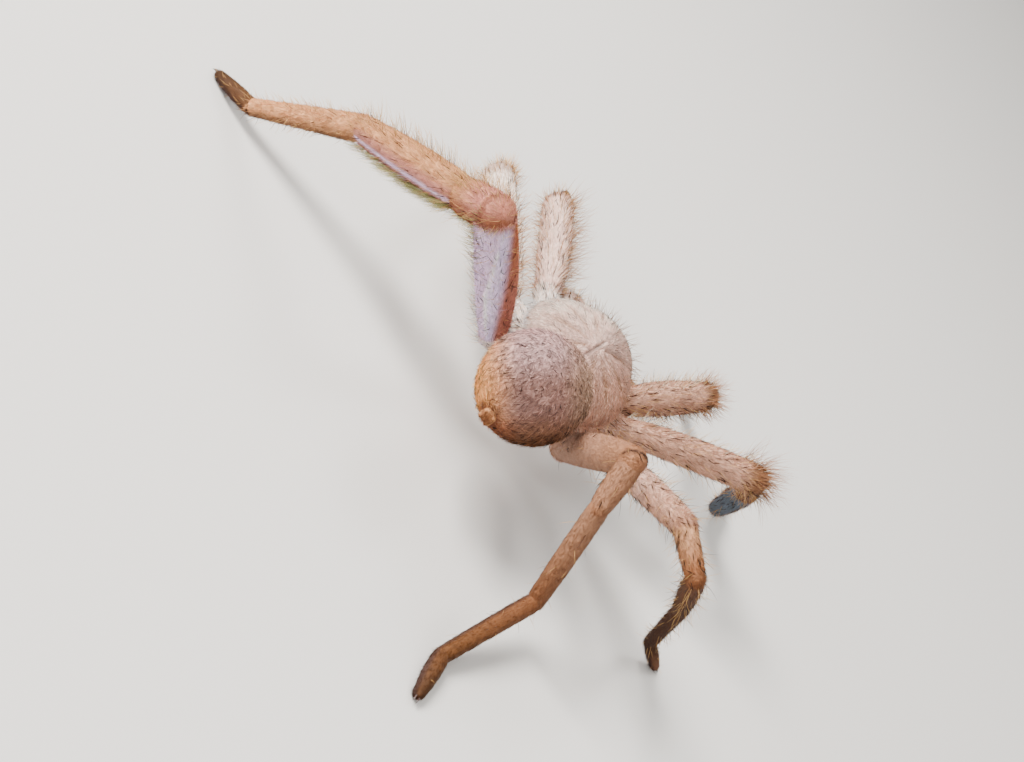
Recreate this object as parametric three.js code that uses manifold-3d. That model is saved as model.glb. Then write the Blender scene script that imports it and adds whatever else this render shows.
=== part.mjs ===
// A huntsman spider, life size, standing still with its legs set on flat ground.
// Millimetres. The spider looks along -Y, its left side is +X, +Z is up and the ground is z = 0.
import * as THREE from "three";
import { mergeVertices } from "three/addons/utils/BufferGeometryUtils.js";
import Module from "manifold-3d";

const wasm = await Module();
wasm.setup();

// Driving dimensions of the body. Places are measured from the middle of the carapace.
const BODY_HEIGHT = 8.6;
const GAP = 0.3;
const EYE_GAP = 0.08;
const CARAPACE = {
  halfWidth: 5.15, halfLength: 4.9, frontStretch: 1.22, dome: 3.2, rim: -0.35, underside: 0.8,
  headNarrowing: 0.4, frontPower: 3.2, rearPower: 2.3, rearSlope: 0.5,
};
const ABDOMEN = {
  halfWidth: 3.95, halfLength: 4.95, top: 3.2, belly: 3.3, centre: [0, 9.15, 0.95], droop: 8,
  power: 2.2, rearNarrowing: 0.16,
};
const PEDICEL = { radius: 0.6, front: [0, 3.2, -0.5], rear: [0, 5.6, 0] };
const CORE = { half: [2.5, 3.8, 1.2], centre: [0, -0.4, -0.9] };
const STERNUM = { half: [2.2, 3.2, 0.5], centre: [0, -0.2, -1.85] };
const LABIUM = { half: [0.6, 0.8, 0.4], centre: [0, -3.6, -1.75] };
const FOVEA = { half: [0.13, 0.85, 0.4], y: 1.0 };
const CHELICERA = { top: [1.12, -5.1, -1.0], foot: [1.02, -5.8, -3.8], radii: [0.85, 1.08, 0.75] };
const FANG = { radius: 0.3, length: 1.7, inward: 0.75, backward: 0.7 };
const SPINNERET = { place: 0.985, rise: -5, base: 0.58, length: 0.5, radius: 0.28, spread: 0.3 };
// The cones: how far each lies to the side and upwards, in shares of the spread, and its size.
const SPINNERET_CONES = [
  [1, -0.8, 1], [-1, -0.8, 1], [0.9, 0.8, 0.85], [-0.9, 0.8, 0.85], [0.35, 0, 0.6], [-0.35, 0, 0.6],
];

// Eyes: half the distance across the pair, height above the middle of the carapace, and radius.
const EYES = {
  front_middle: { x: 0.5, z: 0.9, radius: 0.25 },
  front_side: { x: 1.35, z: 0.92, radius: 0.3 },
  rear_middle: { x: 0.62, z: 1.75, radius: 0.22 },
  rear_side: { x: 1.7, z: 1.65, radius: 0.26 },
};

// Each palp as a chain of joints on the left side, with the radius at each joint.
const PALP = {
  joints: [
    [1.4, -3.8, -2.3], [2.8, -4.8, -3.2], [2.85, -7.5, -4.7],
    [2.75, -8.7, -5.3], [2.6, -10.2, -6.1], [2.3, -12.2, -7.4],
  ],
  radii: [0.4, 0.5, 0.56, 0.54, 0.56, 0.34],
  bellies: [0.5, 0.6, 0.58, 0.58, 0.6],
};

// Lengths of the leg pieces of each pair, how stout they are, and where its coxa's root and trochanter lie.
const PAIRS = {
  1: {
    femur: 10.4, patella: 3.9, tibia: 8.2, metatarsus: 7.0, tarsus: 2.9, stout: 1,
    coxa: [1.6, -2.1, -1.35], trochanter: [4.2, -4.4, -1.35],
  },
  2: {
    femur: 11.8, patella: 4.6, tibia: 9.8, metatarsus: 7.2, tarsus: 3.0, stout: 0.97,
    coxa: [2.0, -0.7, -1.35], trochanter: [5.9, -2.7, -1.25],
  },
  3: {
    femur: 11.2, patella: 4.0, tibia: 7.8, metatarsus: 7.2, tarsus: 3.1, stout: 0.9,
    coxa: [2.0, 0.8, -1.35], trochanter: [6.3, 1.0, -1.6],
  },
  4: {
    femur: 10.8, patella: 3.7, tibia: 8.8, metatarsus: 8.9, tarsus: 3.5, stout: 1.06,
    coxa: [1.6, 2.2, -1.35], trochanter: [4.75, 4.5, -2.1],
  },
};

// Two trochanters lie a little ahead of their pair's.
const TROCHANTERS = { left_1: [4.4, -5.35, -1.0], left_2: [5.4, -3.1, -0.6] };

// Radii along a leg, at its joints and at the fullest place of each piece, and how much stouter or
// slimmer some legs are there.
const RADIUS = {
  coxaRoot: 0.52, coxa: 0.95, trochanter: 1.02, femur: 1.3, knee: 1.12, kneecap: 1.1,
  patella: 1.1, patellaEnd: 0.98, tibia: 1.02, tibiaEnd: 0.8,
  metatarsus: 0.75, metatarsusEnd: 0.6, tarsus: 0.62, tip: 0.45,
};
const SHARES = {
  left_2: { trochanter: 1.1, femur: 1.06, knee: 1.2, kneecap: 1.12, patella: 1.05 },
  left_3: { femur: 1.15, knee: 1.22, kneecap: 1.12, patella: 1.05 },
  left_4: {
    femur: 1.1, knee: 1.2, kneecap: 1.25, patella: 1.25, patellaEnd: 1.25, tibia: 1.25, tibiaEnd: 1.25,
    metatarsus: 1.12, metatarsusEnd: 1.06,
  },
  right_1: { femur: 1.1, knee: 1.08 },
  right_2: { knee: 1.14, kneecap: 1.1 },
  right_3: {
    femur: 0.94, knee: 0.96, kneecap: 0.9, patella: 0.84, patellaEnd: 0.84, tibia: 0.84, tibiaEnd: 0.88,
    metatarsus: 0.9,
  },
  right_4: {
    femur: 0.95, knee: 0.86, kneecap: 0.8, patella: 0.8, patellaEnd: 0.76, tibia: 0.74, tibiaEnd: 0.86,
    metatarsus: 0.88,
  },
};
const FEMUR_BOW = 0.015;
const FOOT_SINK = 0.06;

// The pose: heading of femur, patella, tibia, metatarsus and tarsus in degrees from straight ahead,
// positive to the spider's left, and the rise of each above level.
const POSE = {
  left_1: { heading: [-6, -44, -57, -9, -1], rise: [-25, -27, -4, -1, -9] },
  left_2: { heading: [31.2, -27, -5, 33, 24], rise: [0.5, -47, -23.4, 1, -10] },
  left_3: { heading: [53, 9, 9, 9, 9], rise: [8, -22, -22, -22, -20] },
  left_4: { heading: [125, 57, 89, 97, 83], rise: [44, -35, -27, -46, -18] },
  right_1: { heading: [-22, -7, -3, -3, 1], rise: [15, -23, -26, -23, -7] },
  right_2: { heading: [-56.5, -21, -9, -6, 1], rise: [22.5, -34, -41, -14, -8] },
  right_3: { heading: [-134, -130, -26, -28, -56], rise: [32, -1, -41, -54, -32] },
  right_4: { heading: [-160, -139, -87, 173, -166], rise: [46, -54, -67, -16, -5] },
};

// Long bristles. The number on each piece, their lengths, and the share that the smooth leg has.
const BRISTLE = { radius: 0.33, sunk: 0.45, lean: 38, bend: 0.22, shorter: [1, 0.75, 0.55], arc: 250 };
const BRISTLES = {
  femur: { number: 10, length: [1.3, 2.1] }, tibia: { number: 12, length: [1.4, 2.2] },
  metatarsus: { number: 4, length: [1.1, 1.6] }, carapace: { number: 18, length: [0.9, 1.5] },
  abdomen: { number: 18, length: [0.9, 1.3] }, palp: { number: 6, length: [0.9, 1.3] },
};
const SMOOTH_LEG = { name: "right_4", share: 0.4 };
const FRINGE = {
  leg: "left_4", number: 8, length: [1.2, 1.6], radius: 0.3, width: 1.7, bend: 0.3, spread: 22,
  outwards: 0.8, along: 0.6,
};
const CLAW = { radius: 0.2, length: 0.75, apart: 0.14, bend: -0.3, lift: 0.35 };
const GOLDEN_ANGLE = 137.5;

const COLOURS = {
  carapace: 0xd2b09c, abdomen: 0xa58478, spinnerets: 0x9c6238, chelicera: 0x8f5f45, fang: 0x1c0f0b,
  palp: 0xc79c80, eye: 0x14100f,
  coxa: 0xc9a892, femur: 0xceab96, tibia: 0xc09078, metatarsus: 0xa9765a, tarsus: 0x6d3d2b,
};

const vector = (list) => new THREE.Vector3(...list);
const radians = THREE.MathUtils.degToRad;
const lerp = THREE.MathUtils.lerp;

// A closed geometry as a solid, with seam vertices merged and empty triangles dropped.
function solidOf(geometry) {
  const plain = geometry.clone();
  plain.deleteAttribute("normal");
  plain.deleteAttribute("uv");
  const merged = mergeVertices(plain, 1e-4);
  const index = merged.index.array;
  const triangles = [];
  for (let i = 0; i < index.length; i += 3) {
    const [a, b, c] = [index[i], index[i + 1], index[i + 2]];
    if (a !== b && b !== c && c !== a) {
      triangles.push(a, b, c);
    }
  }
  return new wasm.Manifold(new wasm.Mesh({
    numProp: 3,
    vertProperties: new Float32Array(merged.attributes.position.array),
    triVerts: new Uint32Array(triangles),
  }));
}

// The largest closed piece of a solid.
function largest(solid) {
  return solid.decompose().reduce((best, piece) => (piece.volume() > best.volume() ? piece : best));
}

function geometryOf(solid) {
  const mesh = solid.getMesh();
  const geometry = new THREE.BufferGeometry();
  geometry.setAttribute("position", new THREE.BufferAttribute(new Float32Array(mesh.vertProperties), 3));
  geometry.setIndex(new THREE.BufferAttribute(new Uint32Array(mesh.triVerts), 1));
  geometry.computeVertexNormals();
  return geometry;
}

// Moves every vertex of a geometry by a function of its place.
function mould(geometry, place) {
  const position = geometry.attributes.position;
  const point = new THREE.Vector3();
  for (let i = 0; i < position.count; i += 1) {
    point.fromBufferAttribute(position, i);
    const moved = place(point);
    position.setXYZ(i, moved.x, moved.y, moved.z);
  }
  return geometry;
}

function ellipsoid(half, centre, sides = 20, rings = 12) {
  const geometry = new THREE.SphereGeometry(1, sides, rings);
  return solidOf(mould(geometry, (p) => p.multiply(vector(half)).add(vector(centre))));
}

// The unit direction of a heading and a rise in degrees.
function direction(heading, rise) {
  const h = radians(heading);
  const r = radians(rise);
  return new THREE.Vector3(Math.sin(h) * Math.cos(r), -Math.cos(h) * Math.cos(r), Math.sin(r));
}

// The axes of a stretch of limb: along it, its back, as near to upright as it can be, and its side.
function limbAxes(along) {
  const upright = new THREE.Vector3(0, 0, 1);
  if (Math.abs(along.z) > 0.9) {
    upright.set(along.x, along.y, 0).multiplyScalar(-Math.sign(along.z));
  }
  const back = upright.addScaledVector(along, -upright.dot(along)).normalize();
  const side = new THREE.Vector3().crossVectors(along, back);
  return { along, back, side };
}

// A limb is a chain of joints with the radius at each joint and at the fullest place of each stretch.
// Its radius at a share t of stretch i:
function limbRadius(limb, i, t) {
  const straight = lerp(limb.radii[i], limb.radii[i + 1], t);
  const bulge = limb.bellies[i] - (limb.radii[i] + limb.radii[i + 1]) / 2;
  return straight + bulge * Math.sin(Math.PI * t);
}

// The point on a limb's middle line at a share t of stretch i, with the axes there.
function limbPlace(limb, i, t) {
  const ways = limb.joints.slice(1).map((joint, k) => joint.clone().sub(limb.joints[k]).normalize());
  const way = ways[i].clone();
  if (t === 0 && i > 0) {
    way.add(ways[i - 1]).normalize();
  }
  const axes = limbAxes(way);
  const length = limb.joints[i].distanceTo(limb.joints[i + 1]);
  const centre = limb.joints[i].clone().lerp(limb.joints[i + 1], t);
  centre.addScaledVector(axes.back, (limb.bow ?? 0) * length * Math.sin(Math.PI * t));
  return { ...axes, centre };
}

// A round limb made of lathe rings, each moved to its place along the chain. An end is domed, or mitred
// along the plane that halves the bend at its joint, half a gap away from that plane.
const LIMB_SHARES = [0, 0.25, 0.5, 0.78];
function limbSolid(limb, sides = 10, shares = LIMB_SHARES, mitres = {}) {
  const last = limb.joints.length - 2;
  const [startRadius, endRadius] = [limb.radii[0], limb.radii.at(-1)];
  const inner = [];
  for (let i = 0; i <= last; i += 1) {
    for (const t of shares) {
      inner.push({ i, t, radius: limbRadius(limb, i, t), ahead: 0 });
    }
  }
  inner.push({ i: last, t: 1, radius: endRadius, ahead: 0 });
  inner[0].mitre = mitres.start;
  inner.at(-1).mitre = mitres.end;
  const slant = Math.SQRT1_2;
  const startRings = mitres.start ? [{ ...inner[0], radius: 0 }] : [
    { i: 0, t: 0, radius: 0, ahead: -startRadius },
    { i: 0, t: 0, radius: slant * startRadius, ahead: -slant * startRadius },
  ];
  const endRings = mitres.end ? [{ ...inner.at(-1), radius: 0 }] : [
    { i: last, t: 1, radius: slant * endRadius, ahead: slant * endRadius },
    { i: last, t: 1, radius: 0, ahead: endRadius },
  ];
  const rings = [...startRings, ...inner, ...endRings];
  const places = rings.map(({ i, t }) => limbPlace(limb, i, t));
  const profile = rings.map((ring, k) => new THREE.Vector2(ring.radius, k));
  const geometry = new THREE.LatheGeometry(profile, sides);
  mould(geometry, (p) => {
    const k = Math.round(p.y);
    const { centre, along, back, side } = places[k];
    const { ahead, mitre } = rings[k];
    const out = new THREE.Vector3().addScaledVector(side, p.x).addScaledVector(back, p.z);
    const slide = mitre ? (mitre.away * GAP / 2 - mitre.normal.dot(out)) / mitre.normal.dot(along) : ahead;
    return centre.clone().add(out).addScaledVector(along, slide);
  });
  return solidOf(geometry);
}

// Cuts a solid along the plane that halves the bend at a joint, half a gap away from it.
function cutAtJoint(solid, joint, normal, away) {
  const level = away * normal.dot(joint) + GAP / 2;
  return solid.trimByPlane(normal.clone().multiplyScalar(away).toArray(), level);
}

const nodes = [];

function addNode(name, solid, colour) {
  nodes.push({ name, solid: largest(solid), colour, bristles: [] });
}

// A seeded draw, so that the bristles stand in the same places every time.
let seed = 4711;
function between([low, high]) {
  seed = (seed * 16807) % 2147483647;
  return lerp(low, high, seed / 2147483647);
}

// A tapered bristle that leaves its root outwards and bends along its lie. A wide one is a flat lock.
function bristleSolid(root, outward, lie, size) {
  const { length, radius, bend, width = 1, sides = 3 } = size;
  const across = new THREE.Vector3().crossVectors(outward, lie).normalize();
  const backs = new THREE.Vector3().crossVectors(across, outward);
  const geometry = new THREE.ConeGeometry(radius, length + BRISTLE.sunk, sides, 2);
  return solidOf(mould(geometry, (p) => {
    const t = 0.5 + p.y / (length + BRISTLE.sunk);
    return root.clone()
      .addScaledVector(outward, t * (length + BRISTLE.sunk) - BRISTLE.sunk)
      .addScaledVector(lie, bend * length * t * t)
      .addScaledVector(across, -p.x)
      .addScaledVector(backs, -p.z * width);
  }));
}

const apart = (one, other) => [0, 1, 2].some((k) => one.min[k] > other.max[k] || other.min[k] > one.max[k]);

// Roots a bristle in a node, made shorter where it would come near another node or the ground.
function growBristle(node, root, outward, lie, size) {
  for (const share of BRISTLE.shorter) {
    const length = size.length * share;
    const fatSize = { ...size, radius: size.radius + GAP, length: length + GAP };
    const fat = bristleSolid(root, outward, lie, fatSize);
    const box = fat.boundingBox();
    const near = nodes.filter((other) => other !== node)
      .flatMap((other) => [other.solid, ...other.bristles])
      .filter((solid) => !apart(box, solid.boundingBox()));
    if (box.min[2] > 0 && near.every((solid) => fat.intersect(solid).isEmpty())) {
      node.bristles.push(bristleSolid(root, outward, lie, { ...size, length }));
      return;
    }
  }
}

// Bristles spread over the back and sides of a limb, leaning towards its far end.
function bristleLimb(nodeName, limb, kind, share = 1) {
  const node = nodes.find(({ name }) => name === nodeName);
  const number = Math.round(BRISTLES[kind].number * share);
  const stretches = limb.joints.length - 1;
  for (let k = 0; k < number; k += 1) {
    const place = 0.12 + (0.8 * (k + between([0.2, 0.8]))) / number;
    const i = Math.floor(place * stretches);
    const t = place * stretches - i;
    const turn = radians(((k * GOLDEN_ANGLE + between([-15, 15])) % BRISTLE.arc) - BRISTLE.arc / 2);
    const { centre, along, back, side } = limbPlace(limb, i, Math.max(t, 0.08));
    const out = back.clone().multiplyScalar(Math.cos(turn)).addScaledVector(side, Math.sin(turn));
    const root = centre.addScaledVector(out, limbRadius(limb, i, t));
    const lean = radians(BRISTLE.lean + between([-12, 12]));
    const outward = out.multiplyScalar(Math.cos(lean)).addScaledVector(along, Math.sin(lean));
    const size = { radius: BRISTLE.radius, length: between(BRISTLES[kind].length), bend: BRISTLE.bend };
    growBristle(node, root, outward, along, size);
  }
}

// Bristles over a body whose surface is given by a function of v and angle, leaning to the rear.
function bristleBody(nodeName, surface, kind, from, to) {
  const node = nodes.find(({ name }) => name === nodeName);
  const rearward = new THREE.Vector3(0, 1, 0);
  const { number } = BRISTLES[kind];
  for (let k = 0; k < number; k += 1) {
    const v = lerp(from, to, (k + between([0.1, 0.9])) / number);
    const angle = radians(14 + ((k * GOLDEN_ANGLE + between([-12, 12])) % 152));
    const root = surface(v, angle);
    const alongV = surface(v + 0.01, angle).sub(root);
    const normal = surface(v, angle + 0.01).sub(root).cross(alongV).normalize();
    const lean = radians(BRISTLE.lean + between([-14, 14]));
    const outward = normal.multiplyScalar(Math.cos(lean))
      .addScaledVector(rearward, Math.sin(lean))
      .normalize();
    const lie = rearward.clone().addScaledVector(outward, -rearward.dot(outward)).normalize();
    const size = { radius: BRISTLE.radius, length: between(BRISTLES[kind].length), bend: BRISTLE.bend };
    growBristle(node, root.add(new THREE.Vector3(0, 0, BODY_HEIGHT)), outward, lie, size);
  }
}

const carapaceY = (v) => CARAPACE.halfLength * v * (v < 0 ? CARAPACE.frontStretch : 1);

// A place on the carapace: v runs from the head at -1 to the rear at 1, angle from the left rim upwards.
function carapacePoint(v, angle) {
  const power = v < 0 ? CARAPACE.frontPower : CARAPACE.rearPower;
  const ring = Math.pow(Math.max(0, 1 - Math.pow(Math.abs(v), power)), 1 / power);
  const narrow = 1 - CARAPACE.headNarrowing * Math.pow(Math.max(0, -v), 2);
  const slope = 1 - CARAPACE.rearSlope * Math.pow(Math.max(0, v), 2);
  const height = Math.sin(angle) > 0 ? CARAPACE.dome * slope : CARAPACE.underside;
  return new THREE.Vector3(
    CARAPACE.halfWidth * ring * narrow * Math.cos(angle),
    carapaceY(v),
    CARAPACE.rim + height * ring * Math.sin(angle),
  );
}

// A place on the abdomen, before it is tilted: v runs from its front at -1 to its rear at 1.
function abdomenPoint(v, angle) {
  const ring = Math.pow(Math.max(0, 1 - Math.pow(Math.abs(v), ABDOMEN.power)), 1 / ABDOMEN.power);
  const narrow = 1 - ABDOMEN.rearNarrowing * Math.pow(Math.max(0, v), 1.5);
  const height = Math.sin(angle) > 0 ? ABDOMEN.top : ABDOMEN.belly;
  const local = new THREE.Vector3(
    ABDOMEN.halfWidth * ring * narrow * Math.cos(angle),
    ABDOMEN.halfLength * v,
    height * ring * narrow * Math.sin(angle),
  );
  const sideways = new THREE.Vector3(1, 0, 0);
  return local.applyAxisAngle(sideways, -radians(ABDOMEN.droop)).add(vector(ABDOMEN.centre));
}

// A closed body whose surface is given by a function of v and angle.
function bodySolid(surface, sides, rings) {
  const geometry = new THREE.SphereGeometry(1, sides, rings);
  return solidOf(mould(geometry, (p) => surface(p.y, Math.atan2(p.z, p.x))));
}

// The place on the front of the carapace that lies at a given x and z.
function facePoint(x, z) {
  let [low, high] = [-1, 0];
  for (let step = 0; step < 30; step += 1) {
    const v = (low + high) / 2;
    const side = carapacePoint(v, 0).x;
    const top = carapacePoint(v, Math.PI / 2).z - CARAPACE.rim;
    const outside = Math.hypot(x / side, (z - CARAPACE.rim) / top) > 1;
    [low, high] = outside ? [v, high] : [low, v];
  }
  return new THREE.Vector3(x, carapaceY(low), z);
}

const raised = (list) => vector(list).add(new THREE.Vector3(0, 0, BODY_HEIGHT));
const mirrored = (list, side) => [side * list[0], list[1], list[2]];
const spider = new THREE.Group();

// The joints of a leg, from the coxa's root to the tip of the foot. The metatarsus is turned up or down
// until the foot rests on the ground.
function legJoints(name) {
  const side = name.startsWith("left") ? 1 : -1;
  const pair = PAIRS[name.at(-1)];
  const { heading, rise } = POSE[name];
  const lengths = [pair.femur, pair.patella, pair.tibia, pair.metatarsus, pair.tarsus];
  const start = raised(mirrored(TROCHANTERS[name] ?? pair.trochanter, side));
  const chain = (metatarsusRise) => {
    const joints = [raised(mirrored(pair.coxa, side)), start];
    lengths.forEach((length, i) => {
      const step = direction(heading[i], i === 3 ? metatarsusRise : rise[i]);
      joints.push(joints.at(-1).clone().addScaledVector(step, length));
    });
    return joints;
  };
  let [low, high] = [rise[3] - 25, rise[3] + 25];
  for (let step = 0; step < 40; step += 1) {
    const middle = (low + high) / 2;
    const tipHeight = chain(middle).at(-1).z;
    [low, high] = tipHeight > RADIUS.tip * pair.stout - FOOT_SINK ? [low, middle] : [middle, high];
  }
  return chain(low);
}

// The pieces of a leg as limbs that share their joints.
function legLimbs(name) {
  const [coxa, trochanter, knee, patellaEnd, tibiaEnd, metatarsusEnd, tip] = legJoints(name);
  const { stout } = PAIRS[name.at(-1)];
  const radius = (key) => stout * (SHARES[name]?.[key] ?? 1) * RADIUS[key];
  const limb = (joints, radii, bellies, bow = 0) => ({
    joints, radii: radii.map(radius), bellies: bellies.map(radius), bow,
  });
  return {
    coxa: limb([coxa, trochanter], ["coxaRoot", "trochanter"], ["coxa"]),
    femur: limb([trochanter, knee], ["trochanter", "knee"], ["femur"], FEMUR_BOW),
    tibia: limb([knee, patellaEnd, tibiaEnd], ["kneecap", "patellaEnd", "tibiaEnd"], ["patella", "tibia"]),
    metatarsus: limb([tibiaEnd, metatarsusEnd], ["tibiaEnd", "metatarsusEnd"], ["metatarsus"]),
    tarsus: limb([metatarsusEnd, tip], ["metatarsusEnd", "tip"], ["tarsus"]),
  };
}

const widened = (radii) => radii.map((radius) => radius + GAP);
const wider = (limb) => ({ ...limb, radii: widened(limb.radii), bellies: widened(limb.bellies) });

// The solid of a hollow that leaves the gap round a limb.
const hollowRound = (limb) => limbSolid(wider(limb), 8, [0, 0.5]);

const firstWay = (limb) => limb.joints[1].clone().sub(limb.joints[0]).normalize();
const lastWay = (limb) => limb.joints.at(-1).clone().sub(limb.joints.at(-2)).normalize();

// The pieces of a leg meet at their joints: round at the knee, where the bend is strong, else mitred.
function legSolids(limbs) {
  const names = Object.keys(limbs);
  const bendAt = (before, after) => lastWay(limbs[before]).add(firstWay(limbs[after])).normalize();
  const bends = names.slice(1).map((name, k) => bendAt(names[k], name));
  return Object.fromEntries(names.map((name, k) => {
    const limb = limbs[name];
    const mitres = {};
    if (k > 0 && name !== "tibia") {
      mitres.start = { normal: bends[k - 1], away: 1 };
    }
    if (k < bends.length && name !== "femur") {
      mitres.end = { normal: bends[k], away: -1 };
    }
    const slim = name === "tarsus" || name === "metatarsus";
    let solid = slim ? limbSolid(limb, 8, [0, 0.4, 0.8], mitres) : limbSolid(limb, 10, LIMB_SHARES, mitres);
    if (name === "femur") {
      solid = cutAtJoint(solid, limb.joints.at(-1), bends[k], -1);
    }
    if (name === "tibia") {
      solid = cutAtJoint(solid, limb.joints[0], bends[k - 1], 1);
    }
    return [name, name === "tarsus" ? solid.trimByPlane([0, 0, 1], 0) : solid];
  }));
}

const legs = Object.keys(POSE).map((name) => ({ name, limbs: legLimbs(name) }));
for (const leg of legs) {
  const solids = legSolids(leg.limbs);
  for (const [piece, solid] of Object.entries(solids)) {
    addNode(`leg_${leg.name}_${piece}`, solid, piece);
  }
}

// The chelicerae, their fangs, and the palps, one of each on either side.
const sides = { left: 1, right: -1 };
const faceSolids = [];
const palps = {};
for (const [name, side] of Object.entries(sides)) {
  const [top, middle, foot] = CHELICERA.radii;
  const chelicera = {
    joints: [raised(mirrored(CHELICERA.top, side)), raised(mirrored(CHELICERA.foot, side))],
    radii: [top, foot], bellies: [middle],
  };
  const midline = [side, 0, 0];
  const footEnd = chelicera.joints[1];
  const footLevel = footEnd.z - 0.35 * foot;
  const solid = limbSolid(chelicera, 12, [0, 0.5])
    .trimByPlane(midline, GAP / 2)
    .trimByPlane([0, 0, 1], footLevel);
  addNode(`chelicera_${name}`, solid, "chelicera");
  faceSolids.push(hollowRound(chelicera));

  const fang = new THREE.ConeGeometry(FANG.radius, FANG.length, 8, 4);
  mould(fang, (p) => {
    const t = 0.5 + p.y / FANG.length;
    const drop = -0.6 * FANG.length * Math.sin(1.5 * t);
    const bend = new THREE.Vector3(-side * FANG.inward * t * t, FANG.backward * t * t, drop);
    return bend.add(new THREE.Vector3(footEnd.x + p.x, footEnd.y + p.z, footLevel - GAP));
  });
  addNode(`fang_${name}`, solidOf(fang), "fang");

  const palp = {
    joints: PALP.joints.map((joint) => raised(mirrored(joint, side))),
    radii: PALP.radii,
    bellies: PALP.bellies,
  };
  palps[name] = palp;
  addNode(`palp_${name}`, limbSolid(palp, 8, [0, 0.5]), "palp");
  faceSolids.push(hollowRound({
    joints: palp.joints.slice(0, 3), radii: palp.radii.slice(0, 3), bellies: palp.bellies.slice(0, 2),
  }));
}

// The eyes, set in round sockets in two rows across the head.
for (const [row, eye] of Object.entries(EYES)) {
  for (const [name, side] of Object.entries(sides)) {
    const surface = facePoint(eye.x, eye.z);
    const centre = raised([side * surface.x, surface.y + 0.35 * eye.radius, surface.z]).toArray();
    const half = (radius) => [radius, radius, radius];
    addNode(`eye_${row}_${name}`, ellipsoid(half(eye.radius), centre, 8, 6), "eye");
    faceSolids.push(ellipsoid(half(eye.radius + EYE_GAP), centre, 8, 6));
  }
}

// The cephalothorax: domed carapace, sternum, labium and pedicel, hollowed round coxae and mouthparts.
const place = (centre) => raised(centre).toArray();
const pedicel = {
  joints: [raised(PEDICEL.front), raised(PEDICEL.rear)],
  radii: [PEDICEL.radius, PEDICEL.radius], bellies: [PEDICEL.radius],
};
const carapace = bodySolid(carapacePoint, 22, 12).translate([0, 0, BODY_HEIGHT]);
const foveaTop = CARAPACE.rim + CARAPACE.dome * 0.99;
let cephalothorax = carapace
  .add(ellipsoid(CORE.half, place(CORE.centre), 10, 6))
  .add(ellipsoid(STERNUM.half, place(STERNUM.centre), 12, 6))
  .add(ellipsoid(LABIUM.half, place(LABIUM.centre), 10, 6))
  .add(limbSolid(pedicel, 8, [0]))
  .subtract(ellipsoid(FOVEA.half, place([0, FOVEA.y, foveaTop]), 8, 8));
for (const { limbs } of legs) {
  cephalothorax = cephalothorax.subtract(hollowRound(limbs.coxa));
}
for (const solid of faceSolids) {
  cephalothorax = cephalothorax.subtract(solid);
}
addNode("cephalothorax", cephalothorax, "carapace");

// The abdomen, hollowed round the pedicel and the rear of the carapace, and cut flat for the spinnerets.
const rear = abdomenPoint(SPINNERET.place, -Math.PI / 2).add(new THREE.Vector3(0, 0, BODY_HEIGHT));
const rearWay = direction(180, SPINNERET.rise);
const wideCarapace = bodySolid((v, angle) => {
  const point = carapacePoint(v, angle);
  return point.addScaledVector(point.clone().normalize(), GAP);
}, 22, 12).translate([0, 0, BODY_HEIGHT]);
const abdomen = bodySolid(abdomenPoint, 22, 12).translate([0, 0, BODY_HEIGHT])
  .subtract(hollowRound(pedicel))
  .subtract(wideCarapace)
  .trimByPlane(rearWay.clone().negate().toArray(), -rearWay.dot(rear) + GAP);
addNode("abdomen", abdomen, "abdomen");

// The spinnerets: a low ring at the rear with two pairs of long cones and a short pair between them.
const spinneretLimb = (from, way, length, radius) => limbSolid({
  joints: [from, from.clone().addScaledVector(way, length)],
  radii: [radius, radius * 0.45],
  bellies: [radius * 0.85],
}, 7, [0]);
const ringStart = rear.clone().addScaledVector(rearWay, -0.6);
let spinnerets = spinneretLimb(ringStart, rearWay, 0.7, SPINNERET.base);
const rearAxes = limbAxes(rearWay);
for (const [across, up, share] of SPINNERET_CONES) {
  const root = rear.clone()
    .addScaledVector(rearAxes.side, across * SPINNERET.spread)
    .addScaledVector(rearAxes.back, up * SPINNERET.spread);
  const radius = SPINNERET.radius * (0.6 + 0.4 * share);
  spinnerets = spinnerets.add(spinneretLimb(root, rearWay, SPINNERET.length * share, radius));
}
addNode("spinnerets", spinnerets.trimByPlane(rearWay.toArray(), rearWay.dot(rear)), "spinnerets");

// The bristles: on the legs, the palps, the carapace and the abdomen.
for (const { name, limbs } of legs) {
  const share = name === SMOOTH_LEG.name ? SMOOTH_LEG.share : 1;
  for (const piece of ["femur", "tibia", "metatarsus"]) {
    bristleLimb(`leg_${name}_${piece}`, limbs[piece], piece, share);
  }
}
for (const [name, palp] of Object.entries(palps)) {
  bristleLimb(`palp_${name}`, palp, "palp");
}
bristleBody("cephalothorax", carapacePoint, "carapace", -0.86, 0.75);
bristleBody("abdomen", abdomenPoint, "abdomen", -0.5, 0.9);

// The combed fringe of flat locks under one tibia.
const fringed = legs.find(({ name }) => name === FRINGE.leg).limbs.tibia;
const fringeNode = nodes.find(({ name }) => name === `leg_${FRINGE.leg}_tibia`);
for (let k = 0; k < FRINGE.number; k += 1) {
  const t = 0.08 + (0.86 * k) / FRINGE.number;
  const { centre, along, back, side } = limbPlace(fringed, 1, t);
  const turn = radians(180 + between([-FRINGE.spread, FRINGE.spread]));
  const out = back.multiplyScalar(Math.cos(turn)).addScaledVector(side, Math.sin(turn));
  const root = centre.addScaledVector(out, limbRadius(fringed, 1, t));
  const outward = out.clone().multiplyScalar(FRINGE.outwards).addScaledVector(along, FRINGE.along);
  const { radius, width, bend } = FRINGE;
  const size = { radius, width, bend, length: between(FRINGE.length), sides: 4 };
  growBristle(fringeNode, root, outward, along, size);
}

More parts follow.
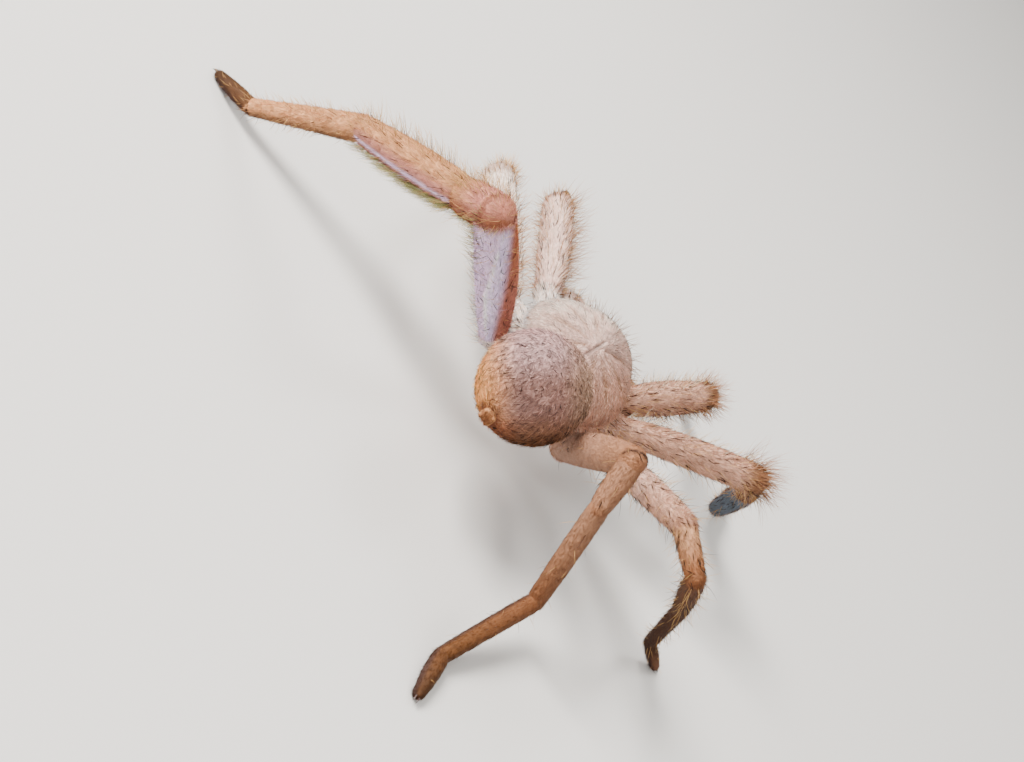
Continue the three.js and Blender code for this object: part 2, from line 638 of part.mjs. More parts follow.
// Two small claws at the tip of each foot.
for (const { name, limbs } of legs) {
  const node = nodes.find((other) => other.name === `leg_${name}_tarsus`);
  const { centre, along, back, side } = limbPlace(limbs.tarsus, 0, 1);
  for (const sign of [1, -1]) {
    const root = centre.clone()
      .addScaledVector(along, 0.8 * RADIUS.tip)
      .addScaledVector(side, sign * CLAW.apart);
    const way = along.clone().addScaledVector(back, CLAW.lift).normalize();
    node.bristles.push(bristleSolid(root, way, back, { ...CLAW, sides: 4 }));
  }
}

const materials = {};
for (const { name, solid, colour, bristles } of nodes) {
  materials[colour] ??= new THREE.MeshStandardMaterial({
    color: COLOURS[colour], roughness: colour === "eye" || colour === "fang" ? 0.2 : 0.85, metalness: 0,
  });
  const whole = bristles.reduce((joined, bristle) => joined.add(bristle), solid);
  const grown = name.endsWith("_tarsus") ? whole.trimByPlane([0, 0, 1], 0) : whole;
  const mesh = new THREE.Mesh(geometryOf(largest(grown)), materials[colour]);
  mesh.name = name;
  spider.add(mesh);
}

// The origin lies on the ground, under the middle of the box round the whole spider.
const box = new THREE.Box3().setFromObject(spider);
const middle = box.getCenter(new THREE.Vector3());
spider.position.set(-middle.x, -middle.y, -box.min.z);

export default spider;
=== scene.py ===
import itertools
import math
from collections import namedtuple

import bpy
import numpy as np
from mathutils import Matrix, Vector
from mathutils.kdtree import KDTree

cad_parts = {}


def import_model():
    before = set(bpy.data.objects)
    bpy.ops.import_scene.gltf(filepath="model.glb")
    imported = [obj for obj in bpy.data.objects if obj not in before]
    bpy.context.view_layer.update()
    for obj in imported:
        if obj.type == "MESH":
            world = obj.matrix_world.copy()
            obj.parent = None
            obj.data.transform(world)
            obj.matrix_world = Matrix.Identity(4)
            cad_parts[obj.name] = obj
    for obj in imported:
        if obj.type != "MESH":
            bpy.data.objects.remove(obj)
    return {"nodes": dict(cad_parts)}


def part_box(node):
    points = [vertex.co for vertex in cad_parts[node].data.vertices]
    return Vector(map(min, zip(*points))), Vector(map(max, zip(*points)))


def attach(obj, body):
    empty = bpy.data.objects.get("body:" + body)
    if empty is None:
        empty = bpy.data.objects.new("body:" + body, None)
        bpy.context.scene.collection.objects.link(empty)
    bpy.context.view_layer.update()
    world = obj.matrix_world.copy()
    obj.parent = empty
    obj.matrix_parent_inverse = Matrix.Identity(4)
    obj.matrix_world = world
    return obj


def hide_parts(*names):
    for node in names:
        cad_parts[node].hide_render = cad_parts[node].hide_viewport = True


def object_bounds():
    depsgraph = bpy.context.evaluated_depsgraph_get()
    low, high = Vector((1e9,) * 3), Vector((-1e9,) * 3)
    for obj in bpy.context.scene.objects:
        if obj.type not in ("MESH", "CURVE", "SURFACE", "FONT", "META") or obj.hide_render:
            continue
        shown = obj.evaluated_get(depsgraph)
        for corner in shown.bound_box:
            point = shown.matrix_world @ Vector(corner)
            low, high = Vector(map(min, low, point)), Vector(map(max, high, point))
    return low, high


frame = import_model()
cad_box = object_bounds()

# Sizes here are millimetres in the spider's own frame, as in the part: it looks along -Y, its left is
# +X, +Z is up, the ground is z = 0 and the middle of the carapace is over the origin. MM turns them into
# metres. The skin lies inside the part's by COAT, and no lower than SKIN_LOWEST.
MM = 0.001
BODY_HEIGHT = 8.6
COAT = 0.08
SKIN_LOWEST = 0.005

CARAPACE = {
    "half_width": 5.15, "half_length": 4.9, "stretch": 1.22, "dome": 3.2, "rim": -0.35, "underside": 0.8,
    "narrowing": 0.4, "front_power": 3.2, "rear_power": 2.3,
}
ABDOMEN = {
    "half_width": 3.95, "half_length": 4.95, "top": 3.2, "belly": 3.3, "droop": 8,
    "centre": (0, 9.15, 0.95),
}
PEDICEL = {"radius": 0.6, "front": (0, 3.2, -0.5), "rear": (0, 5.6, 0)}
CORE = {"half": (2.5, 3.8, 1.2), "centre": (0, -0.4, -0.9)}
STERNUM = {"half": (2.2, 3.2, 0.5), "centre": (0, -0.2, -1.85)}
LABIUM = {"half": (0.6, 0.8, 0.4), "centre": (0, -3.6, -1.75)}
CHELICERA = {"top": (1.12, -5.1, -1.0), "foot": (1.02, -5.8, -3.8), "radii": (0.85, 1.08, 0.75)}
FANG = {"radius": 0.3, "length": 1.7, "inward": 0.75, "backward": 0.7}
SPINNERET = {"place": 0.985, "rise": -5, "base": 0.58, "length": 0.5, "radius": 0.28, "spread": 0.3}
CLAW = {"radius": 0.07, "length": 0.55, "apart": 0.13, "rise": 0.3, "bend": 0.42}

# The fovea's place and width, and the furrows round it: bearing in degrees, depth, width and width of the
# dark line in it.
FOVEA_Y, FOVEA_WIDTH = 1.0, 0.11
FURROWS = ((33, 0.18, 7, 4), (68, 0.13, 8, 5), (104, 0.13, 8, 5), (140, 0.1, 9, 6))
# The dents in the abdomen's back: how far to either side, and how far along it.
DENTS = ((1.0, -1.6), (1.15, 0.5), (0.95, 2.2))

# Eyes: half the distance across the pair, height above the middle of the carapace, and radius. An eye's
# middle lies behind the face by EYE_SUNK of its radius.
EYE_SUNK = 0.35
EYES = {
    "front_middle": (0.5, 0.9, 0.25),
    "front_side": (1.35, 0.92, 0.3),
    "rear_middle": (0.62, 1.75, 0.22),
    "rear_side": (1.7, 1.65, 0.26),
}

# The palp's joints on the left side, the radius at each, and the fullest radius of each piece.
PALP = {
    "joints": (
        (1.4, -3.8, -2.3), (2.8, -4.8, -3.2), (2.85, -7.5, -4.7),
        (2.75, -8.7, -5.3), (2.6, -10.2, -6.1), (2.3, -12.2, -7.4),
    ),
    "radii": (0.4, 0.5, 0.56, 0.54, 0.56, 0.34),
    "bellies": (0.5, 0.6, 0.58, 0.58, 0.6),
    "pieces": ("palp_coxa", "palp_femur", "palp_patella", "palp_tibia", "palp_tarsus"),
}

# Leg pairs: lengths of femur, patella, tibia, metatarsus and tarsus, stoutness, and roots.
PAIRS = {
    "1": ((10.4, 3.9, 8.2, 7.0, 2.9), 1, (1.6, -2.1, -1.35), (4.2, -4.4, -1.35)),
    "2": ((11.8, 4.6, 9.8, 7.2, 3.0), 0.97, (2.0, -0.7, -1.35), (5.9, -2.7, -1.25)),
    "3": ((11.2, 4.0, 7.8, 7.2, 3.1), 0.9, (2.0, 0.8, -1.35), (6.3, 1.0, -1.6)),
    "4": ((10.8, 3.7, 8.8, 8.9, 3.5), 1.06, (1.6, 2.2, -1.35), (4.75, 4.5, -2.1)),
}
# Two trochanters lie a little ahead of their pair's.
TROCHANTERS = {"left_1": (4.4, -5.35, -1.0), "left_2": (5.4, -3.1, -0.6)}
LEG_PIECES = ("coxa", "femur", "patella", "tibia", "metatarsus", "tarsus")
# Radii of each piece at its start, at its fullest place and at its end, and how much stouter or slimmer
# some legs are there.
LEG_RADII = {
    "coxa": (0.52, 0.95, 1.02), "femur": (1.02, 1.3, 1.12), "patella": (1.1, 1.1, 0.98),
    "tibia": (0.98, 1.02, 0.8), "metatarsus": (0.8, 0.75, 0.6), "tarsus": (0.6, 0.62, 0.45),
}
LEG_SHARES = {
    "left_2": {"coxa": (1, 1, 1.1), "femur": (1.1, 1.06, 1.2), "patella": (1.12, 1.05, 1)},
    "left_3": {"femur": (1, 1.15, 1.22), "patella": (1.12, 1.05, 1)},
    "left_4": {
        "femur": (1, 1.1, 1.2), "patella": (1.25, 1.25, 1.25), "tibia": (1.25, 1.25, 1.25),
        "metatarsus": (1.25, 1.12, 1.06), "tarsus": (1.06, 1, 1),
    },
    "right_1": {"femur": (1, 1.1, 1.08)},
    "right_2": {"femur": (1, 1, 1.14), "patella": (1.1, 1, 1)},
    "right_3": {
        "femur": (1, 0.94, 0.96), "patella": (0.9, 0.84, 0.84), "tibia": (0.84, 0.84, 0.88),
        "metatarsus": (0.88, 0.9, 1),
    },
    "right_4": {
        "femur": (1, 0.95, 0.86), "patella": (0.8, 0.8, 0.76), "tibia": (0.76, 0.74, 0.86),
        "metatarsus": (0.86, 0.88, 1),
    },
}
FEMUR_BOW = 0.015
FEMUR_FLAT = 0.02
FOOT_SINK = 0.06
# Necks and collars of the limb pieces: how much wider or slimmer, where along the piece, and how wide.
SLIM = ((-0.06, 0.01, 0.03), (-0.05, 1.0, 0.02))
COLLARS = {
    "femur": ((-0.09, 0.07, 0.03), (0.03, 0.965, 0.02)),
    "patella": ((-0.05, 0.03, 0.06), (-0.04, 1.0, 0.05)),
    "tibia": ((-0.05, 0.0, 0.035), (-0.05, 0.985, 0.02)),
    "metatarsus": SLIM, "tarsus": SLIM,
}

# The pose: heading of femur, patella, tibia, metatarsus and tarsus from straight ahead, positive to the
# left, and the rise of each above level, in degrees.
POSE = {
    "left_1": ((-6, -44, -57, -9, -1), (-25, -27, -4, -1, -9)),
    "left_2": ((31.2, -27, -5, 33, 24), (0.5, -47, -23.4, 1, -10)),
    "left_3": ((53, 9, 9, 9, 9), (8, -22, -22, -22, -20)),
    "left_4": ((125, 57, 89, 97, 83), (44, -35, -27, -46, -18)),
    "right_1": ((-22, -7, -3, -3, 1), (15, -23, -26, -23, -7)),
    "right_2": ((-56.5, -21, -9, -6, 1), (22.5, -34, -41, -14, -8)),
    "right_3": ((-134, -130, -26, -28, -56), (32, -1, -41, -54, -32)),
    "right_4": ((-160, -139, -87, 173, -166), (46, -54, -67, -16, -5)),
}

# The camera of the photograph: its place, and the way it looks and its right and up as directions.
CAMERA = {
    "place": (0, 89.10, 54.00),
    "forward": (0.012685, -0.868794, -0.495011),
    "right": (-0.529900, -0.425660, 0.733498),
    "up": (0.847965, -0.253002, 0.465774),
    "lens": 47.81,
}
PHOTO_UP, PHOTO_RIGHT = (np.array(CAMERA[key]) for key in ("up", "right"))

SIDES = {"left": 1, "right": -1}
UP = np.array((0.0, 0.0, 1.0))
# A point counts as inside a shell up to this share of the way to its surface.
INSIDE = 0.97
# How far p and q change across a patch whose area is measured.
PATCH_STEP = 2e-3


def unit(vectors):
    """Vectors made one long, along the last axis."""
    length = np.linalg.norm(vectors, axis=-1, keepdims=True)
    return vectors / np.maximum(length, 1e-9)


def square_to(vectors, ways):
    """The part of vectors that is at right angles to other ways, made one long."""
    return unit(vectors - np.sum(vectors * ways, axis=-1, keepdims=True) * ways)


def raised(place, side=1):
    """A place measured from the middle of the carapace, on either side, measured from the ground."""
    return np.array((side * place[0], place[1], place[2] + BODY_HEIGHT), float)


def heading_way(heading, rise):
    """The unit direction of a heading and a rise in degrees."""
    h, r = math.radians(heading), math.radians(rise)
    return np.array((math.sin(h) * math.cos(r), -math.cos(h) * math.cos(r), math.sin(r)))


def limb_axes(along):
    """The back of a stretch of limb, as near upright as it can be, and its side."""
    upright = UP
    if abs(along[2]) > 0.9:
        upright = -np.sign(along[2]) * np.array((along[0], along[1], 0))
    back = square_to(upright, along)
    return back, np.cross(along, back)


# Large odd numbers that scatter the noise's values from cell to cell.
CELL_KEYS = np.array((73856093, 19349663, 83492791))
SEED_KEY = 374761393
TURN_KEY = 1274126177


def noise(points, size, seed=0):
    """Smooth noise between -1 and 1 at places in mm; size is how wide its blots are."""
    cell = points / size + 1000.0
    low = np.floor(cell).astype(np.int64)
    share = cell - low
    share = share * share * (3 - 2 * share)
    total = np.zeros(len(points))
    for corner in itertools.product((0, 1), repeat=3):
        key = (low + corner) @ CELL_KEYS + seed * SEED_KEY
        key = ((key ^ (key >> 13)) * TURN_KEY) & 0x7FFFFFFF
        value = ((key ^ (key >> 16)) & 0xFFFF) / 32767.5 - 1
        weight = np.prod(np.where(corner, share, 1 - share), axis=1)
        total += weight * value
    return total


def colour(code):
    """A colour given as 0xRRGGBB, as linear light."""
    parts = np.array([(code >> shift) & 255 for shift in (16, 8, 0)]) / 255
    return np.where(parts <= 0.04045, parts / 12.92, ((parts + 0.055) / 1.055) ** 2.4)


def mix(one, other, share):
    """One colour turning into another by a share per point."""
    share = np.clip(np.asarray(share, float), 0, 1)[..., None]
    return one * (1 - share) + other * share


def ramp(value, low, high):
    """0 below low, 1 above high and smooth between."""
    t = np.clip((value - low) / (high - low), 0, 1)
    return t * t * (3 - 2 * t)


def bell(value, width):
    """1 at 0 and falling smoothly to 0 on both sides."""
    return np.exp(-(value / width) ** 2)


def bisect(too_far, low, high, steps):
    """The last value between low and high that isn't too far."""
    for _ in range(steps):
        middle = (low + high) / 2
        low, high = (low, middle) if too_far(middle) else (middle, high)
    return low


class Shell:
    """A closed surface given by a place p from 0 to 1 along it and a turn q from 0 to 1 round it."""

    def __init__(self, name, region, rings, sides):
        self.name, self.region, self.rings, self.sides = name, region, rings, sides
        self.chart = (0, 0, 1, 1)
        self.facing = 1
        self.facing = self.outward_sign()

    def outward_sign(self):
        p, q = np.full(8, 0.5), np.arange(8) / 8
        points = self.points(p, q)
        normals = self.surface(p, q)[1]
        return np.sign(np.sum(normals * (points - points.mean(axis=0))))

    def surface(self, p, q):
        """Places, outward normals, directions along and areas of small patches, at arrays of p and q."""
        step = PATCH_STEP / 2
        p = np.clip(p, 0.002, 0.998)
        here = self.points(p, q)
        along = self.points(np.minimum(p + step, 1), q) - self.points(np.maximum(p - step, 0), q)
        around = self.points(p, q + step) - self.points(p, q - step)
        normal = self.facing * np.cross(along, around)
        return here, unit(normal), unit(along), np.linalg.norm(normal, axis=1)

    def uv(self, p, q):
        """The place on the atlas."""
        u0, v0, u1, v1 = self.chart
        return np.stack((u0 + (u1 - u0) * (q % 1.0), v0 + (v1 - v0) * p), axis=1)


class LimbShell(Shell):
    """One piece of a limb between two joints, with domed ends."""

    def __init__(self, name, region, start, end, radii, belly, relief=None, step=0.2, sides=30):
        self.start, self.end = np.array(start, float), np.array(end, float)
        self.length = np.linalg.norm(self.end - self.start)
        self.along = (self.end - self.start) / self.length
        self.back, self.side = limb_axes(self.along)
        self.bow = FEMUR_BOW * self.length if region == "femur" else 0.0
        self.relief = relief
        first, last = radii
        turn = np.linspace(0, math.pi / 2, 10)
        t = np.linspace(0, 1, 60)[1:-1]
        body = first + (last - first) * t + (belly - (first + last) / 2) * np.sin(math.pi * t)
        self.a = np.concatenate((-first * np.cos(turn), t * self.length, self.length + last * np.sin(turn)))
        self.r = np.concatenate((first * np.sin(turn), body, last * np.cos(turn)))
        walked = np.hypot(np.diff(self.a), np.diff(self.r))
        self.p = np.concatenate(((0,), np.cumsum(walked))) / walked.sum()
        self.reach = walked.sum()
        super().__init__(name, region, max(8, int(self.reach / step)), sides)

    def share(self, p):
        """How far along the stretch a place is: 0 at its first joint and 1 at its last."""
        return np.interp(p, self.p, self.a) / self.length

    def bowed(self, t):
        return self.bow * np.sin(math.pi * np.clip(t, 0, 1))

    def points(self, p, q):
        a, r = np.interp(p, self.p, self.a), np.interp(p, self.p, self.r)
        t = a / self.length
        if self.relief is not None:
            r = r * (1 + self.relief(t, q))
        turn = 2 * math.pi * q
        up, across = self.bowed(t) + r * np.cos(turn), r * np.sin(turn)
        places = self.start + a[:, None] * self.along
        places = places + up[:, None] * self.back + across[:, None] * self.side
        places[:, 2] = np.maximum(places[:, 2], SKIN_LOWEST)
        return places

    def inside(self, points):
        """Which points lie inside the shell."""
        from_start = points - self.start
        a = from_start @ self.along
        across = from_start - a[:, None] * self.along - self.bowed(a / self.length)[:, None] * self.back
        r = np.interp(a, self.a, self.r, left=0, right=0)
        return np.linalg.norm(across, axis=1) < r * INSIDE


class BodyShell(Shell):
    """A body whose surface is given by a function of v, from -1 to 1, and an angle from the left rim."""

    def __init__(self, name, region, place, rings, sides, inside):
        self.place, self.inside = place, inside
        super().__init__(name, region, rings, sides)

    def points(self, p, q):
        return self.place(-np.cos(math.pi * p), 2 * math.pi * q)


def carapace_section(v):
    """Half width and dome height of the carapace at v, and how full it is there, as arrays."""
    power = np.where(v < 0, CARAPACE["front_power"], CARAPACE["rear_power"])
    ring = np.maximum(0, 1 - np.abs(v) ** power) ** (1 / power)
    narrow = 1 - CARAPACE["narrowing"] * np.maximum(0, -v) ** 2
    slope = 1 - 0.5 * np.maximum(0, v) ** 2
    return CARAPACE["half_width"] * ring * narrow, CARAPACE["dome"] * ring * slope, ring


def carapace_y(v):
    return CARAPACE["half_length"] * v * np.where(v < 0, CARAPACE["stretch"], 1)


def fovea_line(x, y, width=FOVEA_WIDTH):
    """1 along the long pit in the middle of the carapace, 0 away from it."""
    return np.exp(-(x / width) ** 2 - ((y - FOVEA_Y) / 1.35) ** 4)


def from_fovea(x, y):
    """Distance from the fovea, and bearing in degrees from straight ahead."""
    return np.hypot(x, y - FOVEA_Y), np.degrees(np.arctan2(np.abs(x), FOVEA_Y - y))


def carapace_relief(x, y, top):
    """How far the carapace's skin rises or sinks at x, y: the fovea, the furrows and the raised head."""
    distance, bearing = from_fovea(x, y)
    furrows = -sum(depth * bell(bearing - way, width) for way, depth, width, _ in FURROWS)
    furrows = furrows * ramp(distance, 0.5, 1.2) * (1 - ramp(distance, 3.0, 4.2))
    head = 0.1 * ramp(FOVEA_Y - y, 1.4, 3.2) * (1 - ramp(bearing, 24, 36))
    return (furrows + head - 0.4 * fovea_line(x, y)) * ramp(top, 0.15, 0.5)


def carapace_place(v, angle):
    """The skin of the carapace: inside the part's by the coat, with its furrows."""
    width, height, ring = carapace_section(v)
    top = np.sin(angle)
    height = np.where(top > 0, height, CARAPACE["underside"] * ring)
    bare = np.stack((width * np.cos(angle), carapace_y(v), height * top), axis=1)
    shrink = 1 - COAT / CARAPACE["half_length"]
    place = bare * (shrink, shrink, 1 - COAT / CARAPACE["dome"]) + (0, 0, BODY_HEIGHT + CARAPACE["rim"])
    place[:, 2] += carapace_relief(place[:, 0], place[:, 1], top)
    return place


def carapace_inside(points):
    v = points[:, 1] / CARAPACE["half_length"]
    v = np.where(v < 0, v / CARAPACE["stretch"], v)
    width, height, ring = carapace_section(np.clip(v, -1, 1))
    z = points[:, 2] - BODY_HEIGHT - CARAPACE["rim"]
    height = np.where(z > 0, height, CARAPACE["underside"] * ring)
    far = np.hypot(points[:, 0] / np.maximum(width, 0.01), z / np.maximum(height, 0.01))
    return (np.abs(v) < 1) & (far < INSIDE * (1 - COAT / 3))


DROOP = math.radians(ABDOMEN["droop"])
TILT = np.array((
    (1, 0, 0),
    (0, math.cos(DROOP), math.sin(DROOP)),
    (0, -math.sin(DROOP), math.cos(DROOP)),
))


def dent(x, y, dent_x, dent_y, size):
    """1 in the middle of a pair of the abdomen's dents, 0 away from them."""
    return np.exp(-((np.abs(x) - dent_x) ** 2 + (y - dent_y) ** 2) / size)


def abdomen_ring(v):
    ring = np.maximum(0, 1 - np.abs(v) ** 2.2) ** (1 / 2.2)
    return ring * (1 - 0.16 * np.maximum(0, v) ** 1.5)


def abdomen_place(v, angle, inset=COAT):
    """The skin of the abdomen, with faint folds and the small dents of its back."""
    ring = abdomen_ring(v)
    top = np.sin(angle)
    height = np.where(top > 0, ABDOMEN["top"], ABDOMEN["belly"]) - inset
    x = (ABDOMEN["half_width"] - inset) * ring * np.cos(angle)
    y = (ABDOMEN["half_length"] - inset) * v
    dents = -sum(0.09 * dent(x, y, *place, 0.06) for place in DENTS)
    folds = -0.03 * np.maximum(0, np.sin(7.5 * v + 1.2 * np.cos(angle))) ** 3 * ramp(v, -0.1, 0.6)
    z = height * ring * top + np.where(top > 0, dents, 0) + folds * top
    return np.stack((x, y, z), axis=1) @ TILT.T + raised(ABDOMEN["centre"])


def abdomen_inside(points):
    x, y, z = ((points - raised(ABDOMEN["centre"])) @ TILT).T
    v = y / ABDOMEN["half_length"]
    ring = np.maximum(abdomen_ring(np.clip(v, -1, 1)), 0.01)
    height = np.where(z > 0, ABDOMEN["top"], ABDOMEN["belly"])
    far = np.hypot(x / (ABDOMEN["half_width"] * ring), z / (height * ring))
    return (np.abs(v) < 1) & (far < INSIDE * (1 - COAT / 4))


def ellipsoid_shell(name, half, centre, rings=24, sides=36):
    """An ellipsoid set at a place measured from the middle of the carapace."""
    half, middle = np.array(half, float), raised(centre)

    def place(v, angle):
        ring = np.sqrt(np.maximum(0, 1 - v ** 2))
        return middle + half * np.stack((ring * np.cos(angle), v, ring * np.sin(angle)), axis=1)

    def inside(points):
        return np.linalg.norm((points - middle) / half, axis=1) < INSIDE

    return BodyShell(name, "under", place, rings, sides, inside)


def face_point(x, z):
    """The place on the front of the bare carapace at a given x and z, from the middle of the carapace."""
    def within(v):
        width, height, _ = carapace_section(np.array([v]))
        return math.hypot(x / width[0], (z - CARAPACE["rim"]) / height[0]) <= 1

    return np.array((x, float(carapace_y(bisect(within, -1.0, 0.0, 30))), z))


def leg_joints(name):
    """The joints of a leg from the coxa's root to the tip, its foot turned until it rests on the ground."""
    side = SIDES[name.split("_")[0]]
    lengths, stout, coxa, trochanter = PAIRS[name[-1]]
    headings, rises = POSE[name]

    def chain(metatarsus_rise):
        joints = [raised(coxa, side), raised(TROCHANTERS.get(name, trochanter), side)]
        for i, length in enumerate(lengths):
            rise = metatarsus_rise if i == 3 else rises[i]
            joints.append(joints[-1] + length * heading_way(headings[i], rise))
        return joints

    def off_ground(rise):
        return chain(rise)[-1][2] > LEG_RADII["tarsus"][-1] * stout - FOOT_SINK

    return chain(bisect(off_ground, rises[3] - 25, rises[3] + 25, 40))


def collars(rings, flat=0):
    """How much wider or slimmer a limb piece is at a share t along it and a turn q round it."""
    def relief(t, q):
        necks = sum(depth * bell(t - place, width) for depth, place, width in rings)
        return necks + flat * np.cos(4 * math.pi * q)

    return relief


def leg_shells(name):
    joints = leg_joints(name)
    stout = PAIRS[name[-1]][1]
    shells = []
    for i, piece in enumerate(LEG_PIECES):
        shares = LEG_SHARES.get(name, {}).get(piece, (1, 1, 1))
        radii = [stout * radius * share - COAT for radius, share in zip(LEG_RADII[piece], shares)]
        first, belly, last = radii
        relief = collars(COLLARS[piece], FEMUR_FLAT if piece == "femur" else 0) if piece in COLLARS else None
        shells.append(LimbShell(f"{name}_{piece}", piece, *joints[i:i + 2], (first, last), belly, relief))
    return shells


def palp_shells(name, side):
    joints = [raised(joint, side) for joint in PALP["joints"]]
    radii = [radius - 0.7 * COAT for radius in PALP["radii"]]
    return [
        LimbShell(
            f"{piece}_{name}", piece, *joints[i:i + 2], radii[i:i + 2], PALP["bellies"][i] - 0.7 * COAT,
            collars(SLIM), 0.16, 24,
        )
        for i, piece in enumerate(PALP["pieces"])
    ]


def chelicera_shell(name, side):
    top, middle, foot = (radius - 0.6 * COAT for radius in CHELICERA["radii"])

    def relief(t, q):
        return 0.06 * bell(t - 0.25, 0.2) * np.cos(2 * math.pi * q) ** 2

    ends = raised(CHELICERA["top"], side), raised(CHELICERA["foot"], side)
    return LimbShell(f"chelicera_{name}", "chelicera", *ends, (top, foot), middle, relief, 0.14, 30)


SPIN_REAR = abdomen_place(np.array([SPINNERET["place"]]), np.array([-math.pi / 2]), 0)[0]
SPIN_WAY = heading_way(180, SPINNERET["rise"])


def spinneret_shells():
    """A low ring with six spinnerets, the middle two small."""
    back, side = limb_axes(SPIN_WAY)
    base = SPINNERET["base"]
    ends = SPIN_REAR - 0.6 * SPIN_WAY, SPIN_REAR + 0.05 * SPIN_WAY
    shells = [LimbShell("spin_ring", "spin_ring", *ends, (base, 0.5), base, step=0.1, sides=32)]
    pairs = ((1, -0.8, 1), (0.9, 0.8, 0.85), (0.35, 0, 0.6))
    places = [(sign * across, above, share) for across, above, share in pairs for sign in (1, -1)]
    for k, (across, above, share) in enumerate(places):
        root = SPIN_REAR + SPINNERET["spread"] * (across * side + above * back)
        end = root + SPINNERET["length"] * share * SPIN_WAY
        radius = SPINNERET["radius"] * (0.6 + 0.4 * share) - 0.04
        shells.append(LimbShell(
            f"spinneret_{k}", "spinneret", root, end, (radius, radius * 0.42), radius * 0.86,
            collars([(-0.12, 0.6, 0.06)]), 0.08, 20,
        ))
    return shells


legs = {name: leg_shells(name) for name in POSE}
palps = {name: palp_shells(name, side) for name, side in SIDES.items()}
chelicerae = {name: chelicera_shell(name, side) for name, side in SIDES.items()}
carapace = BodyShell("carapace", "carapace", carapace_place, 120, 150, carapace_inside)
abdomen = BodyShell("abdomen", "abdomen", abdomen_place, 90, 120, abdomen_inside)
core = ellipsoid_shell("core", CORE["half"], CORE["centre"])
sternum = ellipsoid_shell("sternum", STERNUM["half"], STERNUM["centre"], 30, 40)
labium = ellipsoid_shell("labium", LABIUM["half"], LABIUM["centre"])
thin = PEDICEL["radius"] - 0.05
ends = raised(PEDICEL["front"]), raised(PEDICEL["rear"])
pedicel = LimbShell("pedicel", "under", *ends, (thin, thin), thin)
spinnerets = spinneret_shells()


# The atlas: one column for each leg, the big body pieces beside them and the small ones in rows below.
def lay_charts():
    margin, column, small_high = 0.004, 0.08, 0.22
    for k, shells in enumerate(legs.values()):
        total = sum(shell.reach for shell in shells)
        low = 0.0
        for shell in shells:
            high = low + shell.reach / total
            shell.chart = (k * column + margin, low + margin, (k + 1) * column - margin, high - margin)
            low = high
    left = 8 * column
    carapace.chart = (left + margin, 0.6, 1 - margin, 1 - margin)
    abdomen.chart = (left + margin, small_high, 1 - margin, 0.6 - margin)
    small = [*palps["left"], *palps["right"], *chelicerae.values()]
    small += [core, sternum, labium, pedicel, *spinnerets]
    across = 9
    wide, high = (1 - left) / across, small_high / 3
    for k, shell in enumerate(small):
        u, v = left + wide * (k % across), high * (k // across)
        shell.chart = (u + margin / 2, v + margin / 2, u + wide - margin / 2, v + high - margin / 2)
    return small


small_shells = lay_charts()
all_shells = [shell for shells in legs.values() for shell in shells] + [carapace, abdomen] + small_shells

# The group's place: the part is moved so that its box is over the origin, and its eyes show by how much.
eye_row, (eye_x, eye_z, eye_radius) = next(iter(EYES.items()))
eye_middles = [np.mean(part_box(f"eye_{eye_row}_{name}"), axis=0) / MM for name in SIDES]
offset = np.mean(eye_middles, axis=0) - (0, face_point(eye_x, eye_z)[1] + EYE_SUNK * eye_radius, 0)
offset[2] = 0


def metres(points):
    """Places in the spider's own frame as places in the row frame."""
    return (np.asarray(points) + offset) * MM


# The markings. Skin and coat take them from the same functions.
CREAM = colour(0xFCE8DC)
PINK_CREAM = colour(0xF6D4C6)
ROSE = colour(0xD2A48C)
BEIGE = colour(0xD4AF92)
TAN = colour(0xBC8C68)
CLAY = colour(0xAE7C5C)
ORANGE_TAN = colour(0xD69A6A)
DUSKY_ROSE = colour(0xB87C74)
BROWN = colour(0x8C5937)
RED_BROWN = colour(0x96583E)
SOFT_RED = colour(0xD08A78)
DARK = colour(0x36201A)
LAVENDER = colour(0xEEDDFF)
VIOLET = colour(0xE8CEE8)
WHITE = colour(0xFFFAFA)
MAUVE = colour(0xAC8478)
PALE_MAUVE = colour(0xC6A4A0)
TAUPE = colour(0x8C6A62)
ORANGE = colour(0xF4AE68)
DEEP_BROWN = colour(0x6E4422)
DARK_BROWN = colour(0x67401F)
SLATE = colour(0x586878)
BLACK = colour(0x120D0B)
PALE_HAIR = colour(0xF2E0C6)
GOLD_HAIR = colour(0xCFA468)
RUST_HAIR = colour(0x9A6A44)
FAN_HAIR = colour(0x906446)
# Painted reflection: pale hair tinted olive by green leaves that it reflects.
OLIVE_REFLECTION_HAIR = colour(0x9A9460)
